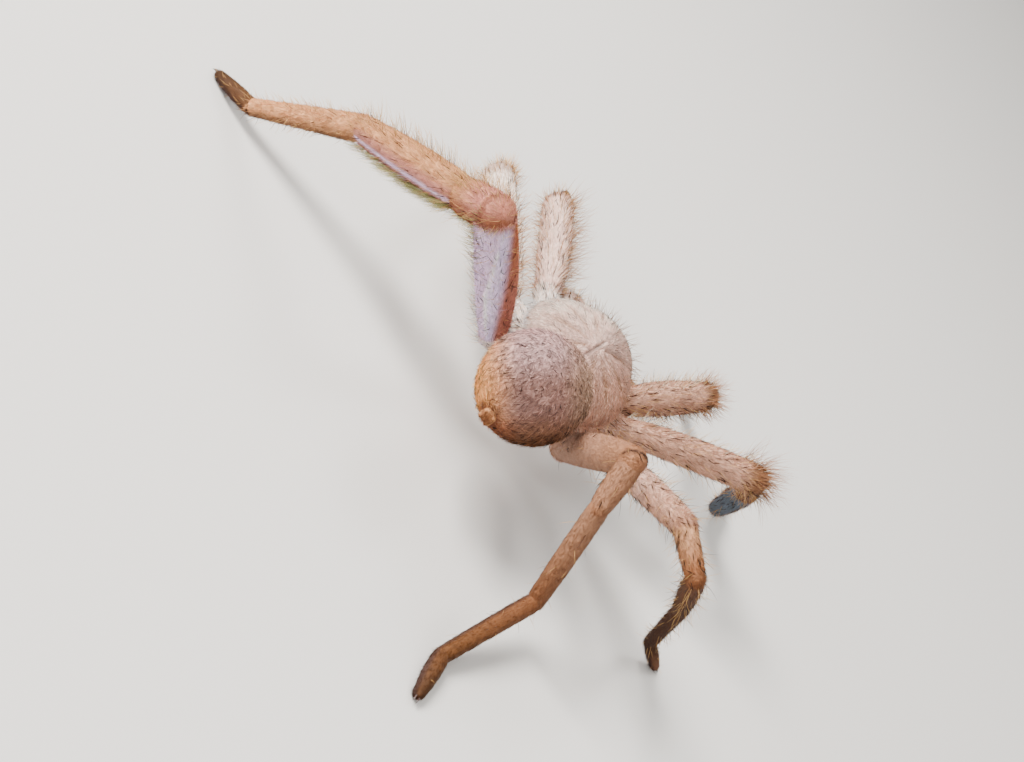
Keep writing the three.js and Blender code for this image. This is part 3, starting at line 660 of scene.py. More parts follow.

# Colours of the leg pieces from coxa to tarsus, at the start and the end of each. The right legs' rosier and
# darker tones are partly painted shade, and the darkened tones of the right third and hind legs are painted
# shade.
FRONT_ENDS = ((BEIGE, BEIGE), (BEIGE, TAN), (TAN, BROWN), (BROWN, DARK))
LEG_TONES = {
    "left_1": ((CREAM, CREAM), (PINK_CREAM, PINK_CREAM), *FRONT_ENDS),
    "left_2": ((CREAM, CREAM), (PINK_CREAM, PINK_CREAM), *FRONT_ENDS),
    "left_3": ((CREAM, CREAM), (CREAM, CREAM), (CREAM, BEIGE), *FRONT_ENDS[1:]),
    "left_4": (
        (CREAM, CREAM), (LAVENDER, LAVENDER), (SOFT_RED * 0.85, ORANGE_TAN * 0.85),
        (ORANGE_TAN * 0.85, ORANGE_TAN * 0.85), (ORANGE_TAN * 0.9, ORANGE_TAN),
        (DARK_BROWN * 0.7, DARK_BROWN * 0.4),
    ),
    # Partly painted shade: the right legs are rosier and darker than the left.
    "right_1": ((ROSE, ROSE), (ROSE, ROSE), (TAN, BROWN), (BROWN, TAN), (TAN, BROWN), (BROWN, DARK)),
    "right_2": (
        (ROSE, ROSE), (ROSE, ROSE), (TAN * 0.75, BROWN * 0.8), (BROWN, TAN), (TAN, BROWN), (BROWN, DARK),
    ),
    # Painted shade: from the patella on, the right third and hind legs are darkened.
    "right_3": (
        (ROSE, ROSE), (PINK_CREAM * 0.85, ROSE), (TAN, BROWN), (BROWN * 0.5, DEEP_BROWN * 0.5),
        (DEEP_BROWN * 0.55, DEEP_BROWN * 0.6), (DEEP_BROWN * 0.4, BROWN * 0.6),
    ),
    "right_4": (
        (ROSE, ROSE), (ROSE * 0.62, CLAY * 0.8), (CLAY * 0.72, CLAY * 0.72), (CLAY * 0.72, BROWN * 0.75),
        (BROWN * 0.72, DEEP_BROWN * 0.85), (DEEP_BROWN * 0.7, DARK_BROWN * 0.5),
    ),
}


def outline_side(shell, q, way):
    """How far round a limb a place lies towards a way in the picture: 1 at that outline, -1 opposite."""
    turn = 2 * math.pi * q
    out = np.cos(turn)[:, None] * shell.back + np.sin(turn)[:, None] * shell.side
    return out @ square_to(way, shell.along)


def hind_femur_marking(tone, t, side):
    """Pale violet, with a white streak that climbs across it and a soft red side beyond the streak."""
    streak = np.maximum(-0.55, 1.7 * t - 1.24)
    edge = 0.9 * t - 0.28
    tone = mix(VIOLET, tone, ramp(side, streak - 0.1, streak + 0.1))
    red = mix(SOFT_RED, RED_BROWN * 1.5, ramp(t, 0.2, 0.8))
    tone = mix(tone, red, ramp(side, edge - 0.05, edge + 0.45))
    ends = ramp(t, 0.02, 0.15) * (1 - ramp(t, 0.74, 0.82))
    tone = mix(tone, WHITE, ends * bell(side - streak, 0.07))
    return mix(tone, SOFT_RED * 0.8, ramp(t, 0.9, 0.97))


def knee_line(shell, points):
    """1 along the seam where femur and patella meet, 0 away from it."""
    femur, patella = legs[shell.name.rsplit("_", 1)[0]][1:3]
    from_knee = points - femur.end
    outside = from_knee @ unit(femur.along - patella.along)
    return bell(from_knee @ unit(femur.along + patella.along), 0.15) * ramp(outside, -0.4, 0.2)


def leg_marking(shell, p, q, points):
    leg, piece = shell.name.rsplit("_", 1)
    first, last = LEG_TONES[leg][LEG_PIECES.index(piece)]
    t = np.clip(shell.share(p), 0, 1)
    under = ramp(-np.cos(2 * math.pi * q), -0.2, 0.7)
    tone = mix(first, last, ramp(t, 0.1, 0.95))
    if leg == "left_4" and piece == "femur":
        tone = hind_femur_marking(tone, t, outline_side(shell, q, PHOTO_RIGHT))
    if leg == "left_4" and piece in ("patella", "tibia"):
        low = outline_side(shell, q, -PHOTO_UP)
        tone = mix(tone, RED_BROWN if piece == "patella" else DUSKY_ROSE, 0.9 * ramp(low, -0.2, 0.5))
        if piece == "tibia":
            tone = mix(tone, LAVENDER, 0.8 * bell(low - 0.74, 0.09))
    if leg == "right_2" and piece == "tibia":
        tone = mix(PALE_MAUVE * 0.8, tone, ramp(t, 0.05, 0.3))
    if leg in ("right_1", "right_2"):
        if piece == "femur":
            tone = mix(tone, TAN * 0.8, ramp(t, 0.86, 0.98))
        if piece in ("tibia", "metatarsus"):
            tone = mix(tone, SLATE, 0.95 * under)
    if piece in ("metatarsus", "tarsus"):
        tone = mix(tone, DARK, (0.8 if piece == "tarsus" else 0.3 + 0.3 * t) * under)
    if piece in ("femur", "patella", "tibia"):
        tone = mix(tone, BROWN, 0.5 * np.maximum(bell(t - 1, 0.025), 0.7 * bell(t, 0.03)))
    if leg == "right_4" and piece in ("femur", "patella"):
        tone = mix(tone, DARK * 0.7, 0.95 * knee_line(shell, points))
    if leg == "right_4" and piece in ("metatarsus", "tarsus"):
        tone = mix(tone, DARK, 0.8 * ramp(outline_side(shell, q, PHOTO_UP - PHOTO_RIGHT), 0.45, 0.9))
    return tone


def on_left(x, y):
    """How far a place on the carapace lies towards its left and front."""
    return x - 0.5 * (y - FOVEA_Y)


def carapace_marking(points):
    x, y, z = points.T
    height = z - BODY_HEIGHT
    distance, bearing = from_fovea(x, y)
    left = on_left(x, y)
    tone = mix(PINK_CREAM * 0.8, PINK_CREAM, ramp(distance, 1.8, 4.8))
    # Partly painted light: creamier towards the left and front, where the light falls.
    tone = mix(tone, CREAM, 0.5 * ramp(left, 1.0, 4.5))
    # Partly painted shade: rosier towards the right, away from the light.
    tone = mix(tone, ROSE * 1.08, 0.8 * ramp(0.4 * (y - FOVEA_Y) - x, -0.5, 3.5))
    tone = mix(tone, MAUVE, 0.3 * ramp(noise(points, 0.9, 8), 0.1, 0.6))
    for way, _, _, width in FURROWS:
        line = bell(bearing - way, width) * ramp(distance, 0.4, 1.0) * (1 - ramp(distance, 3.0, 4.6))
        tone = mix(tone, TAN * 0.7, 0.6 * line)
    tone = mix(tone, DARK * 0.6, 0.95 * fovea_line(x, y) * (height > 0))
    tone = mix(tone, WHITE, 0.6 * bell(height - CARAPACE["rim"] - 0.1, 0.28) * ramp(left, -1.0, 1.5))
    return mix(tone, TAN, ramp(-height, 0.5, 1.0))


def abdomen_marking(points):
    """Mauve and taupe, paler on top as painted light and brown below as painted shade, with an orange left
    that is partly painted light through its edge, and a red-brown rear.
    """
    from_middle = points - raised(ABDOMEN["centre"])
    x, y, z = (from_middle @ TILT).T
    left, low = -from_middle @ PHOTO_RIGHT, -from_middle @ PHOTO_UP
    tone = mix(MAUVE, TAUPE, 0.6 * (0.5 + 0.5 * noise(points, 1.1, 5)))
    # Painted light: paler towards the top, where the light falls.
    tone = mix(tone, PALE_MAUVE, ramp(-low, 0.0, 2.6))
    tone = mix(PINK_CREAM * 0.75, tone, ramp(y, -4.8, -3.0))
    # Painted shade: clay towards the bottom.
    tone = mix(tone, CLAY, 0.7 * ramp(low, 1.2, 3.0))
    tone = mix(tone, BEIGE * 0.8, 0.7 * ramp(-left, 1.6, 3.6))
    # Partly painted light: orange towards the left, for light that shows through the edge.
    tone = mix(tone, ORANGE, 0.95 * ramp(left, 0.7, 3.9))
    rear = ramp(left, 0.3, 2.2) * (1 - ramp(left, 2.8, 3.6))
    tone = mix(tone, RED_BROWN, 0.8 * ramp(low, 1.5, 2.8) * rear)
    # Painted shade: deep brown along the bottom.
    tone = mix(tone, DEEP_BROWN, 0.85 * ramp(low, 2.6, 3.8))
    heart = bell(x, 0.5 + 0.12 * np.sin(2.4 * y)) * ramp(-y, -1.5, 0.2) * (z > 0)
    tone = mix(tone, TAUPE * 0.8, 0.35 * heart)
    for place in DENTS:
        tone = mix(tone, DARK, 0.4 * dent(x, y, *place, 0.05) * (z > 0))
    to_rear = np.linalg.norm(points - SPIN_REAR - (0, 0, -0.4), axis=1)
    return mix(tone, RED_BROWN * 0.8, 0.8 * (1 - ramp(to_rear, 0.7, 1.5)))


def small_marking(region, t):
    if region == "chelicera":
        return mix(mix(TAN, RED_BROWN, ramp(t, 0.1, 0.6)), DARK, ramp(t, 0.6, 0.95))
    if region == "palp_tarsus":
        return mix(TAN, RED_BROWN * 0.8, ramp(t, 0.1, 0.8))
    if region.startswith("palp"):
        return mix(PINK_CREAM, BEIGE, t)
    if region == "spinneret":
        return mix(ORANGE_TAN, BROWN, ramp(t, 0.6, 0.95))
    if region == "spin_ring":
        return mix(ORANGE_TAN, BROWN, ramp(t, 0.5, 0.9))
    return np.tile(TAN * 0.95, (len(t), 1))


def marking(shell, p, q, points):
    """The colour of skin and coat at places on a shell, in linear light."""
    if shell.region in LEG_PIECES:
        tone = leg_marking(shell, p, q, points)
    elif shell is carapace:
        tone = carapace_marking(points)
    elif shell is abdomen:
        tone = abdomen_marking(points)
    else:
        tone = small_marking(shell.region, p)
    cloud = 0.07 * noise(points, 1.6, 1) + 0.06 * noise(points, 0.5, 2)
    return np.clip(tone * (1 + cloud[:, None]), 0, 1)


# Materials.
def new_material(name):
    material = bpy.data.materials.new(name)
    material.use_nodes = True
    return material, material.node_tree, material.node_tree.nodes["Principled BSDF"]


def set_inputs(tree, node, inputs):
    """Sets a node's inputs to constants, or links them to other nodes' outputs."""
    for key, value in inputs.items():
        if isinstance(value, bpy.types.NodeSocket):
            tree.links.new(value, node.inputs[key])
        else:
            node.inputs[key].default_value = value


def add_node(tree, kind, output, inputs=None, **settings):
    """Adds a node with its settings and inputs, and gives one of its outputs."""
    node = tree.nodes.new(f"ShaderNode{kind}")
    for key, value in settings.items():
        setattr(node, key, value)
    set_inputs(tree, node, inputs or {})
    return node.outputs[output]


def skin_material():
    """Cuticle with its markings, mottled, and with a fine bump of short flat hairs along it."""
    material, tree, shader = new_material("skin")
    paint = add_node(tree, "Attribute", "Color", attribute_name="marking")
    place = add_node(tree, "TexCoord", "Object")
    grain = add_node(tree, "TexNoise", "Fac", {"Scale": 2600, "Detail": 4, "Vector": place})
    unwrap = add_node(tree, "UVMap", "UV", uv_map="OFBake")
    along = add_node(tree, "Mapping", "Vector", {"Scale": (2400, 130, 1), "Vector": unwrap})
    strands = add_node(tree, "TexNoise", "Fac", {"Scale": 1, "Detail": 3, "Vector": along})
    mottle = add_node(tree, "Math", "Value", {0: grain, 1: strands}, operation="MULTIPLY")
    limits = {"From Min": 0.08, "From Max": 0.42, "To Min": 0.5, "To Max": 1.1}
    shade = add_node(tree, "MapRange", "Result", {**limits, "Value": mottle})
    tinted = {"Factor": 1, "A": paint, "B": shade}
    tint = add_node(tree, "Mix", "Result", tinted, data_type="RGBA", blend_type="MULTIPLY")
    bump = add_node(tree, "Bump", "Normal", {"Strength": 0.7, "Distance": 0.00008, "Height": mottle})
    set_inputs(tree, shader, {
        "Base Color": tint, "Normal": bump, "Roughness": 0.65, "Specular IOR Level": 0.2,
    })
    return material


def hair_material(name, roughness):
    """Hairs in the colours of their roots and tips, with a little shine and light through them."""
    material, tree, shader = new_material(name)
    paint = add_node(tree, "Attribute", "Color", attribute_name="marking")
    set_inputs(tree, shader, {"Base Color": paint, "Roughness": roughness, "Specular IOR Level": 0.22})
    glow = add_node(tree, "BsdfTranslucent", "BSDF", {"Color": paint})
    both = add_node(tree, "MixShader", "Shader", {"Fac": 0.3, 1: shader.outputs["BSDF"], 2: glow})
    tree.links.new(both, tree.nodes["Material Output"].inputs["Surface"])
    return material


def gloss_material(name, code, deep_code, roughness, scale):
    """A hard glossy surface with faint darker clouds."""
    material, tree, shader = new_material(name)
    place = add_node(tree, "TexCoord", "Object")
    cloud = add_node(tree, "TexNoise", "Fac", {"Scale": scale, "Vector": place})
    tones = add_node(tree, "ValToRGB", "Color", {"Fac": cloud})
    for element, tone, position in zip(tones.node.color_ramp.elements, (deep_code, code), (0.35, 0.7)):
        element.color = (*colour(tone), 1)
        element.position = position
    set_inputs(tree, shader, {
        "Base Color": tones, "Roughness": roughness, "Coat Weight": 0.8, "Coat Roughness": 0.05,
    })
    return material


# Meshes.
def build_mesh(name, points, faces, uvs=None, colours=None, strip=0):
    """A mesh object from places in mm, arrays of faces, and a UV place and a colour for each vertex.

    Faces that cross a chart's seam run on past its far side, by the strip's width."""
    mesh = bpy.data.meshes.new(name)
    corners = np.concatenate([part.reshape(-1) for part in faces]).astype(np.int32)
    totals = np.concatenate([np.full(len(part), part.shape[1]) for part in faces])
    starts = (np.cumsum(totals) - totals).astype(np.int32)
    mesh.vertices.add(len(points))
    mesh.vertices.foreach_set("co", metres(points).astype(np.float32).reshape(-1))
    mesh.loops.add(len(corners))
    mesh.loops.foreach_set("vertex_index", corners)
    mesh.polygons.add(len(totals))
    mesh.polygons.foreach_set("loop_start", starts)
    mesh.update(calc_edges=True)
    mesh.polygons.foreach_set("use_smooth", np.ones(len(totals), bool))
    if uvs is not None:
        places = uvs[corners]
        if strip:
            highest = np.repeat(np.maximum.reduceat(places[:, 0], starts), totals)
            places[highest - places[:, 0] > strip / 2, 0] += strip
        mesh.uv_layers.new(name="OFBake").uv.foreach_set("vector", places.astype(np.float32).reshape(-1))
    if colours is not None:
        paint = mesh.color_attributes.new("marking", "FLOAT_COLOR", "POINT")
        rgba = np.concatenate((colours, np.ones((len(colours), 1))), axis=1)
        paint.data.foreach_set("color", rgba.astype(np.float32).reshape(-1))
    mesh.validate()
    thing = bpy.data.objects.new(name, mesh)
    bpy.context.scene.collection.objects.link(thing)
    return thing


def closed_faces(rings, sides):
    """The faces of a closed surface whose points are rings, first to last, and then its two poles."""
    across = np.arange(sides)
    beside = (across + 1) % sides
    base = np.arange(rings - 2)[:, None] * sides
    quads = np.stack((base + across, base + beside, base + sides + beside, base + sides + across), axis=-1)
    top, pole = (rings - 2) * sides, (rings - 1) * sides
    caps = (np.full(sides, pole), beside, across), (np.full(sides, pole + 1), top + across, top + beside)
    return [np.concatenate([np.stack(cap, axis=1) for cap in caps]), quads.reshape(-1, 4)]


def reverse(faces):
    return [part[:, ::-1] for part in faces]


def shell_object(shell):
    """One shell as a closed mesh: rings of points between two poles."""
    rings, sides = shell.rings, shell.sides
    p = np.append(np.repeat(np.arange(1, rings) / rings, sides), (0.0, 1.0))
    q = np.append(np.tile(np.arange(sides) / sides, rings - 1), (0.0, 0.0))
    points = shell.points(p, q)
    faces = closed_faces(rings, sides)
    if shell.facing > 0:
        faces = reverse(faces)
    colours = marking(shell, np.clip(p, 0.002, 0.998), q, points)
    return build_mesh(shell.name, points, faces, shell.uv(p, q), colours, shell.chart[2] - shell.chart[0])


def ring_shell_object(name, centre, way, major, minor, tone):
    """A small closed ring round an eye."""
    back, side = limb_axes(unit(way))
    big, small = 28, 10
    turn = 2 * math.pi * np.repeat(np.arange(big) / big, small)
    roll = 2 * math.pi * np.tile(np.arange(small) / small, big)
    out = np.cos(turn)[:, None] * back + np.sin(turn)[:, None] * side
    points = centre + (major + minor * np.cos(roll))[:, None] * out
    points = points + (minor * np.sin(roll))[:, None] * unit(way)
    a, b = np.divmod(np.arange(big * small), small)
    c, d = (a + 1) % big, (b + 1) % small
    quads = np.stack((a * small + b, c * small + b, c * small + d, a * small + d), axis=1)
    u0, v0, u1, _ = carapace.chart
    uvs = np.stack((u0 + (u1 - u0) * turn / 7, v0 + 0.01 * roll / 7), axis=1)
    return build_mesh(name, points, [quads], uvs, np.tile(tone, (len(points), 1)))


def eye_places():
    """Name, centre, radius and outward way of each eye."""
    for row, (x, z, radius) in EYES.items():
        for name, side in SIDES.items():
            surface = face_point(x, z)
            centre = raised((surface[0], surface[1] + EYE_SUNK * radius, surface[2]), side)
            way = unit(np.array((side * 0.35 * x, -1.0, 0.75 * (z - 0.45))))
            yield f"eye_{row}_{name}", centre, radius, way


def join_all(things, name):
    """Joins objects into one by a union, so that no face is left inside."""
    base, *others = things
    group = bpy.data.collections.new("shells")
    for thing in others:
        group.objects.link(thing)
    union = base.modifiers.new("union", "BOOLEAN")
    union.operation = "UNION"
    union.operand_type = "COLLECTION"
    union.collection = group
    union.solver = "MANIFOLD"
    bpy.context.view_layer.update()
    evaluated = base.evaluated_get(bpy.context.evaluated_depsgraph_get())
    mesh = bpy.data.meshes.new_from_object(evaluated)
    mesh.name = name
    whole = bpy.data.objects.new(name, mesh)
    bpy.context.scene.collection.objects.link(whole)
    for thing in things:
        bpy.data.objects.remove(thing)
    bpy.data.collections.remove(group)
    return whole


def paint_of(mesh):
    """Every vertex's place and colour, as arrays."""
    places = np.empty(3 * len(mesh.vertices), np.float32)
    mesh.vertices.foreach_get("co", places)
    tones = np.empty(4 * len(mesh.vertices), np.float32)
    mesh.color_attributes["marking"].data.foreach_get("color", tones)
    return places.reshape(-1, 3), tones.reshape(-1, 4)


def paint_again(mesh, places, tones):
    """Gives each vertex of a joined mesh the colour of the nearest vertex before the join."""
    tree = KDTree(len(places))
    for k, place in enumerate(places):
        tree.insert(place, k)
    tree.balance()
    nearest = [tree.find(vertex.co)[1] for vertex in mesh.vertices]
    mesh.color_attributes["marking"].data.foreach_set("color", tones[nearest].reshape(-1))


def make_skin():
    things = [shell_object(shell) for shell in all_shells]
    for name, centre, radius, way in eye_places():
        place = centre + 0.3 * radius * way
        things.append(ring_shell_object(f"ring_{name}", place, way, radius * 1.02, 0.07, BROWN))
    painted = [paint_of(thing.data) for thing in things]
    skin = join_all(things, "skin")
    paint_again(skin.data, *(np.concatenate(part) for part in zip(*painted)))
    skin.data.materials.clear()
    skin.data.materials.append(skin_material())
    skin.data.polygons.foreach_set("use_smooth", np.ones(len(skin.data.polygons), bool))
    return skin


skin = make_skin()
FLESH = [name for name in frame["nodes"] if not name.startswith(("eye_", "fang_"))]
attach(skin, "root")
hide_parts(*FLESH)
print("skin", sum(len(face.vertices) - 2 for face in skin.data.polygons), "triangles")

# The coat. No hair stands higher than HIGHEST above the ground or lies lower than LOWEST. Each has
# three sides, starts a little under the skin, and has a patch of the atlas at its root's place.
HIGHEST = cad_box[1][2] / MM + 0.3
LOWEST = 0.02
HAIR_SIDES = 3
SUNK = 0.12
PATCH = 0.003


def neighbours(shell):
    """The shells that may hide part of a shell."""
    for shells in (*legs.values(), *palps.values()):
        if shell in shells:
            k = shells.index(shell)
            near = shells[max(0, k - 1):k] + shells[k + 1:k + 2]
            return near + ([carapace, core] if k < 2 else [])
    if shell is carapace:
        return [core, abdomen]
    if shell is abdomen:
        return [carapace, spinnerets[0]]
    if shell in chelicerae.values():
        return [carapace, *[other for other in chelicerae.values() if other is not shell]]
    return [carapace, core, abdomen, sternum]


def body_lie(shell, points, normals, along):
    """Hairs lie towards a limb's far end, out and back over the carapace, and back over the abdomen."""
    lie = along
    if shell is carapace:
        away = points - raised((0, FOVEA_Y - 0.2, 0))
        away[:, 2] = 0
        lie = unit(away) + (0, 0.35, 0)
    elif shell is abdomen:
        lie = np.tile(SPIN_WAY + (0, 0.5, 0), (len(points), 1))
        lie[:, 0] += 0.12 * points[:, 0]
    return square_to(lie, normals)


# What a rule of where hairs grow is given: the shell, and the place p, point and outward normal of each.
Roots = namedtuple("Roots", "shell p points normals")


class Coat:
    """Hairs gathered for one piece, and its random draws."""

    def __init__(self, seed):
        self.parts = []
        self.rng = np.random.default_rng(seed)

    def scatter(self, shell, density, where):
        """Roots spread evenly over a shell, so many to the square mm, outside the shells that cover it."""
        grid = np.stack(np.meshgrid(np.linspace(0.01, 0.99, 40), np.arange(40) / 40)).reshape(2, -1)
        highest = 1.1 * shell.surface(*grid)[3].max()
        tries = int(density * highest / PATCH_STEP ** 2)
        p, q = self.rng.random(tries), self.rng.random(tries)
        points, normals, along, area = shell.surface(p, q)
        keep = self.rng.random(tries) * highest < area
        keep &= points[:, 2] > LOWEST
        if where is not None:
            keep &= self.rng.random(tries) < where(Roots(shell, p, points, normals))
        for cover in neighbours(shell):
            keep &= ~cover.inside(points)
        return p[keep], q[keep], points[keep], normals[keep], along[keep]

    def grow(self, shell, density, length, radius, lean, bend, shade=1.0, tip=1.15, spread=16, rings=1,
             where=None, tone=None, mottle=0.12):
        """A kind of hair grown over a shell, in the shell's markings or a colour of its own.

        Lean is the angle from upright, bend how far hairs curl, and spread how far they turn aside."""
        p, q, points, normals, along = self.scatter(shell, density, where)
        count = len(p)
        if not count:
            return
        lie = body_lie(shell, points, normals, along)
        turn = np.radians(self.rng.normal(0, spread, count))[:, None]
        lie = np.cos(turn) * lie + np.sin(turn) * np.cross(normals, lie)
        tones = marking(shell, p, q, points) if tone is None else np.tile(tone, (count, 1))
        jitter = 1 + mottle * self.rng.normal(0, 1, (count, 1))
        tones = np.clip(tones * shade * jitter, 0, 1)
        lengths = self.rng.uniform(*length, count)[:, None]
        leans = np.radians(self.rng.uniform(*lean, count))[:, None]
        tips = np.clip(tones * tip, 0, 1)
        self.add(points, normals, lie, lengths, radius, leans, bend, tones, tips, shell.uv(p, q), rings)

    def add(self, roots, normals, lies, lengths, radius, leans, bend, tones, tips, uvs, rings):
        """Tapered hairs at their roots."""
        first = unit(np.cos(leans) * normals + np.sin(leans) * lies)
        over = square_to(lies, first)
        across = np.cross(first, over)
        climb = lengths * (first + over * bend)[:, 2:]
        room = HIGHEST - roots[:, 2:]
        lengths = lengths * np.clip(room / np.maximum(climb, 1e-6), 0.2, 1)
        points, shades, places = [], [], []
        for k in range(rings):
            t = k / rings
            centre = roots + first * (lengths * t - (SUNK if k == 0 else 0)) + over * bend * lengths * t * t
            width = radius * (1 - 0.85 * t ** 1.5)
            for j in range(HAIR_SIDES):
                turn = 2 * math.pi * j / HAIR_SIDES
                points.append(centre + width * (math.cos(turn) * across + math.sin(turn) * over))
                shades.append(mix(tones, tips, t))
                places.append(uvs + (PATCH / 2 * math.cos(turn), PATCH * t))
        points.append(roots + first * lengths + over * bend * lengths)
        shades.append(tips)
        places.append(uvs + (0, PATCH))
        size = len(points)
        points = np.stack(points, axis=1).reshape(-1, 3)
        points[:, 2] = np.maximum(points[:, 2], LOWEST)
        faces = []
        for a in range(size - 1 - HAIR_SIDES):
            b = a + 1 if (a + 1) % HAIR_SIDES else a + 1 - HAIR_SIDES
            faces += [(a, b, b + HAIR_SIDES), (a, b + HAIR_SIDES, a + HAIR_SIDES)]
        top = size - 1 - HAIR_SIDES
        faces += [(top + j, top + (j + 1) % HAIR_SIDES, size - 1) for j in range(HAIR_SIDES)]
        faces += [(0, j + 1, j) for j in range(1, HAIR_SIDES - 1)]
        faces = np.array(faces)[None] + size * np.arange(len(roots))[:, None, None]
        stacked = (np.stack(parts, axis=1).reshape(-1, parts[0].shape[1]) for parts in (places, shades))
        self.parts.append((points, faces.reshape(-1, 3), *stacked))

    def build(self, name, material):
        points, faces, uvs, shades = zip(*self.parts)
        starts = np.cumsum([0, *map(len, points[:-1])])
        faces = np.concatenate([part + start for part, start in zip(faces, starts)])
        shades = np.clip(np.concatenate(shades), 0, 1)
        thing = build_mesh(name, np.concatenate(points), [faces], np.concatenate(uvs), shades)
        thing.data.materials.append(material)
        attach(thing, "root")
        print(name, len(thing.data.polygons), "triangles")


velvet = hair_material("velvet", 0.6)
bristle = hair_material("bristle", 0.4)


# Where a kind of hair grows: on the sides that face a way, or beyond or before a share of a limb piece.
def facing(way, low=0.2, high=0.7):
    return lambda roots: ramp(roots.normals @ np.asarray(way, float), low, high)


def beyond(low, high):
    return lambda roots: ramp(roots.shell.share(roots.p), low, high)


def before(low, high):
    return lambda roots: 1 - ramp(roots.shell.share(roots.p), low, high)


def both(one, other):
    return lambda roots: one(roots) * other(roots)


def at_knee(roots):
    return ramp(knee_line(roots.shell, roots.points), 0.6, 0.9)


def off_fovea(roots):
    x, y, z = roots.points.T
    return 1 - fovea_line(x, y, 0.2) * (z > BODY_HEIGHT)


def rim_band(roots):
    """The lowest band of the carapace's dome, on its left and in front."""
    x, y, z = roots.points.T
    height = z - BODY_HEIGHT - CARAPACE["rim"]
    return ramp(height, 0, 0.1) * (1 - ramp(height, 0.3, 0.7)) * ramp(on_left(x, y), -1.0, 1.5)


def front(roots):
    """The front half of the head, over its top and sides."""
    _, y, z = roots.points.T
    return ramp(-y, 1.5, 4.0) * ramp(z, BODY_HEIGHT, BODY_HEIGHT + 0.5)


def clypeus(roots):
    """The low band of the face, under the front eyes."""
    _, y, z = roots.points.T
    height = z - BODY_HEIGHT
    return ramp(-y, 3.6, 4.1) * ramp(height, -0.5, -0.2) * (1 - ramp(height, 0.35, 0.55))


def grow_velvet(name, shells, density, seed):
    """Short hairs that lie flat, close together: shortest on feet, face, spinnerets and right hind leg."""
    coat = Coat(seed)
    for shell in shells:
        plain = shell.name.startswith("right_4")
        small = plain or shell.region in ("tarsus", "chelicera") or shell.region.startswith("palp")
        length = (0.18, 0.34) if small else (0.3, 0.58)
        if shell in (carapace, abdomen):
            length = (0.22, 0.46)
        if shell.region == "spinneret":
            length = (0.08, 0.16)
        where = off_fovea if shell is carapace else None
        coat.grow(shell, density, length, 0.019, (64, 78), 0.12, where=where, mottle=0.08 if plain else 0.2)
    coat.build(name, velvet)


grow_velvet("coat_carapace", [carapace], 190, 11)
grow_velvet("coat_abdomen", [abdomen, *spinnerets], 170, 12)
LEG_GROUPS = itertools.product(SIDES, (("front", "12"), ("rear", "34")))
for seed, (side_name, (end, pair)) in enumerate(LEG_GROUPS, 20):
    group_shells = [shell for k in pair for shell in legs[f"{side_name}_{k}"]]
    if end == "front":
        group_shells += palps[side_name]
    grow_velvet(f"coat_legs_{side_name}_{end}", group_shells, 80, seed)


def grow_bristles(side_name, seed):
    """Fine pale hairs, hairs in the leg's own colour and a few dark ones, standing out from every leg."""
    coat = Coat(seed)
    for leg, shells in legs.items():
        for shell in shells[1:] if leg.startswith(side_name) else ():
            share = 0.15 if leg == "right_4" else 0.3 if shell.name == "right_2_tibia" else 1.0
            size = {"tarsus": 0.4, "metatarsus": 0.8}.get(shell.region, 1.0)
            long, short = (0.7 * size, 1.6 * size), (0.5 * size, 1.2 * size)
            coat.grow(shell, 2.4 * share, long, 0.015, (8, 48), 0.25, 1, 1.25, 30, 3, tone=GOLD_HAIR)
            coat.grow(shell, 1.6 * share, short, 0.016, (20, 60), 0.2, 0.9, 1.4, 30, 3)
            coat.grow(shell, 0.8 * share, long, 0.018, (10, 50), 0.2, 1, 1.3, 25, 3, tone=DARK)
    coat.build(f"coat_bristles_{side_name}", bristle)


for seed, side_name in enumerate(SIDES, 31):
    grow_bristles(side_name, seed)

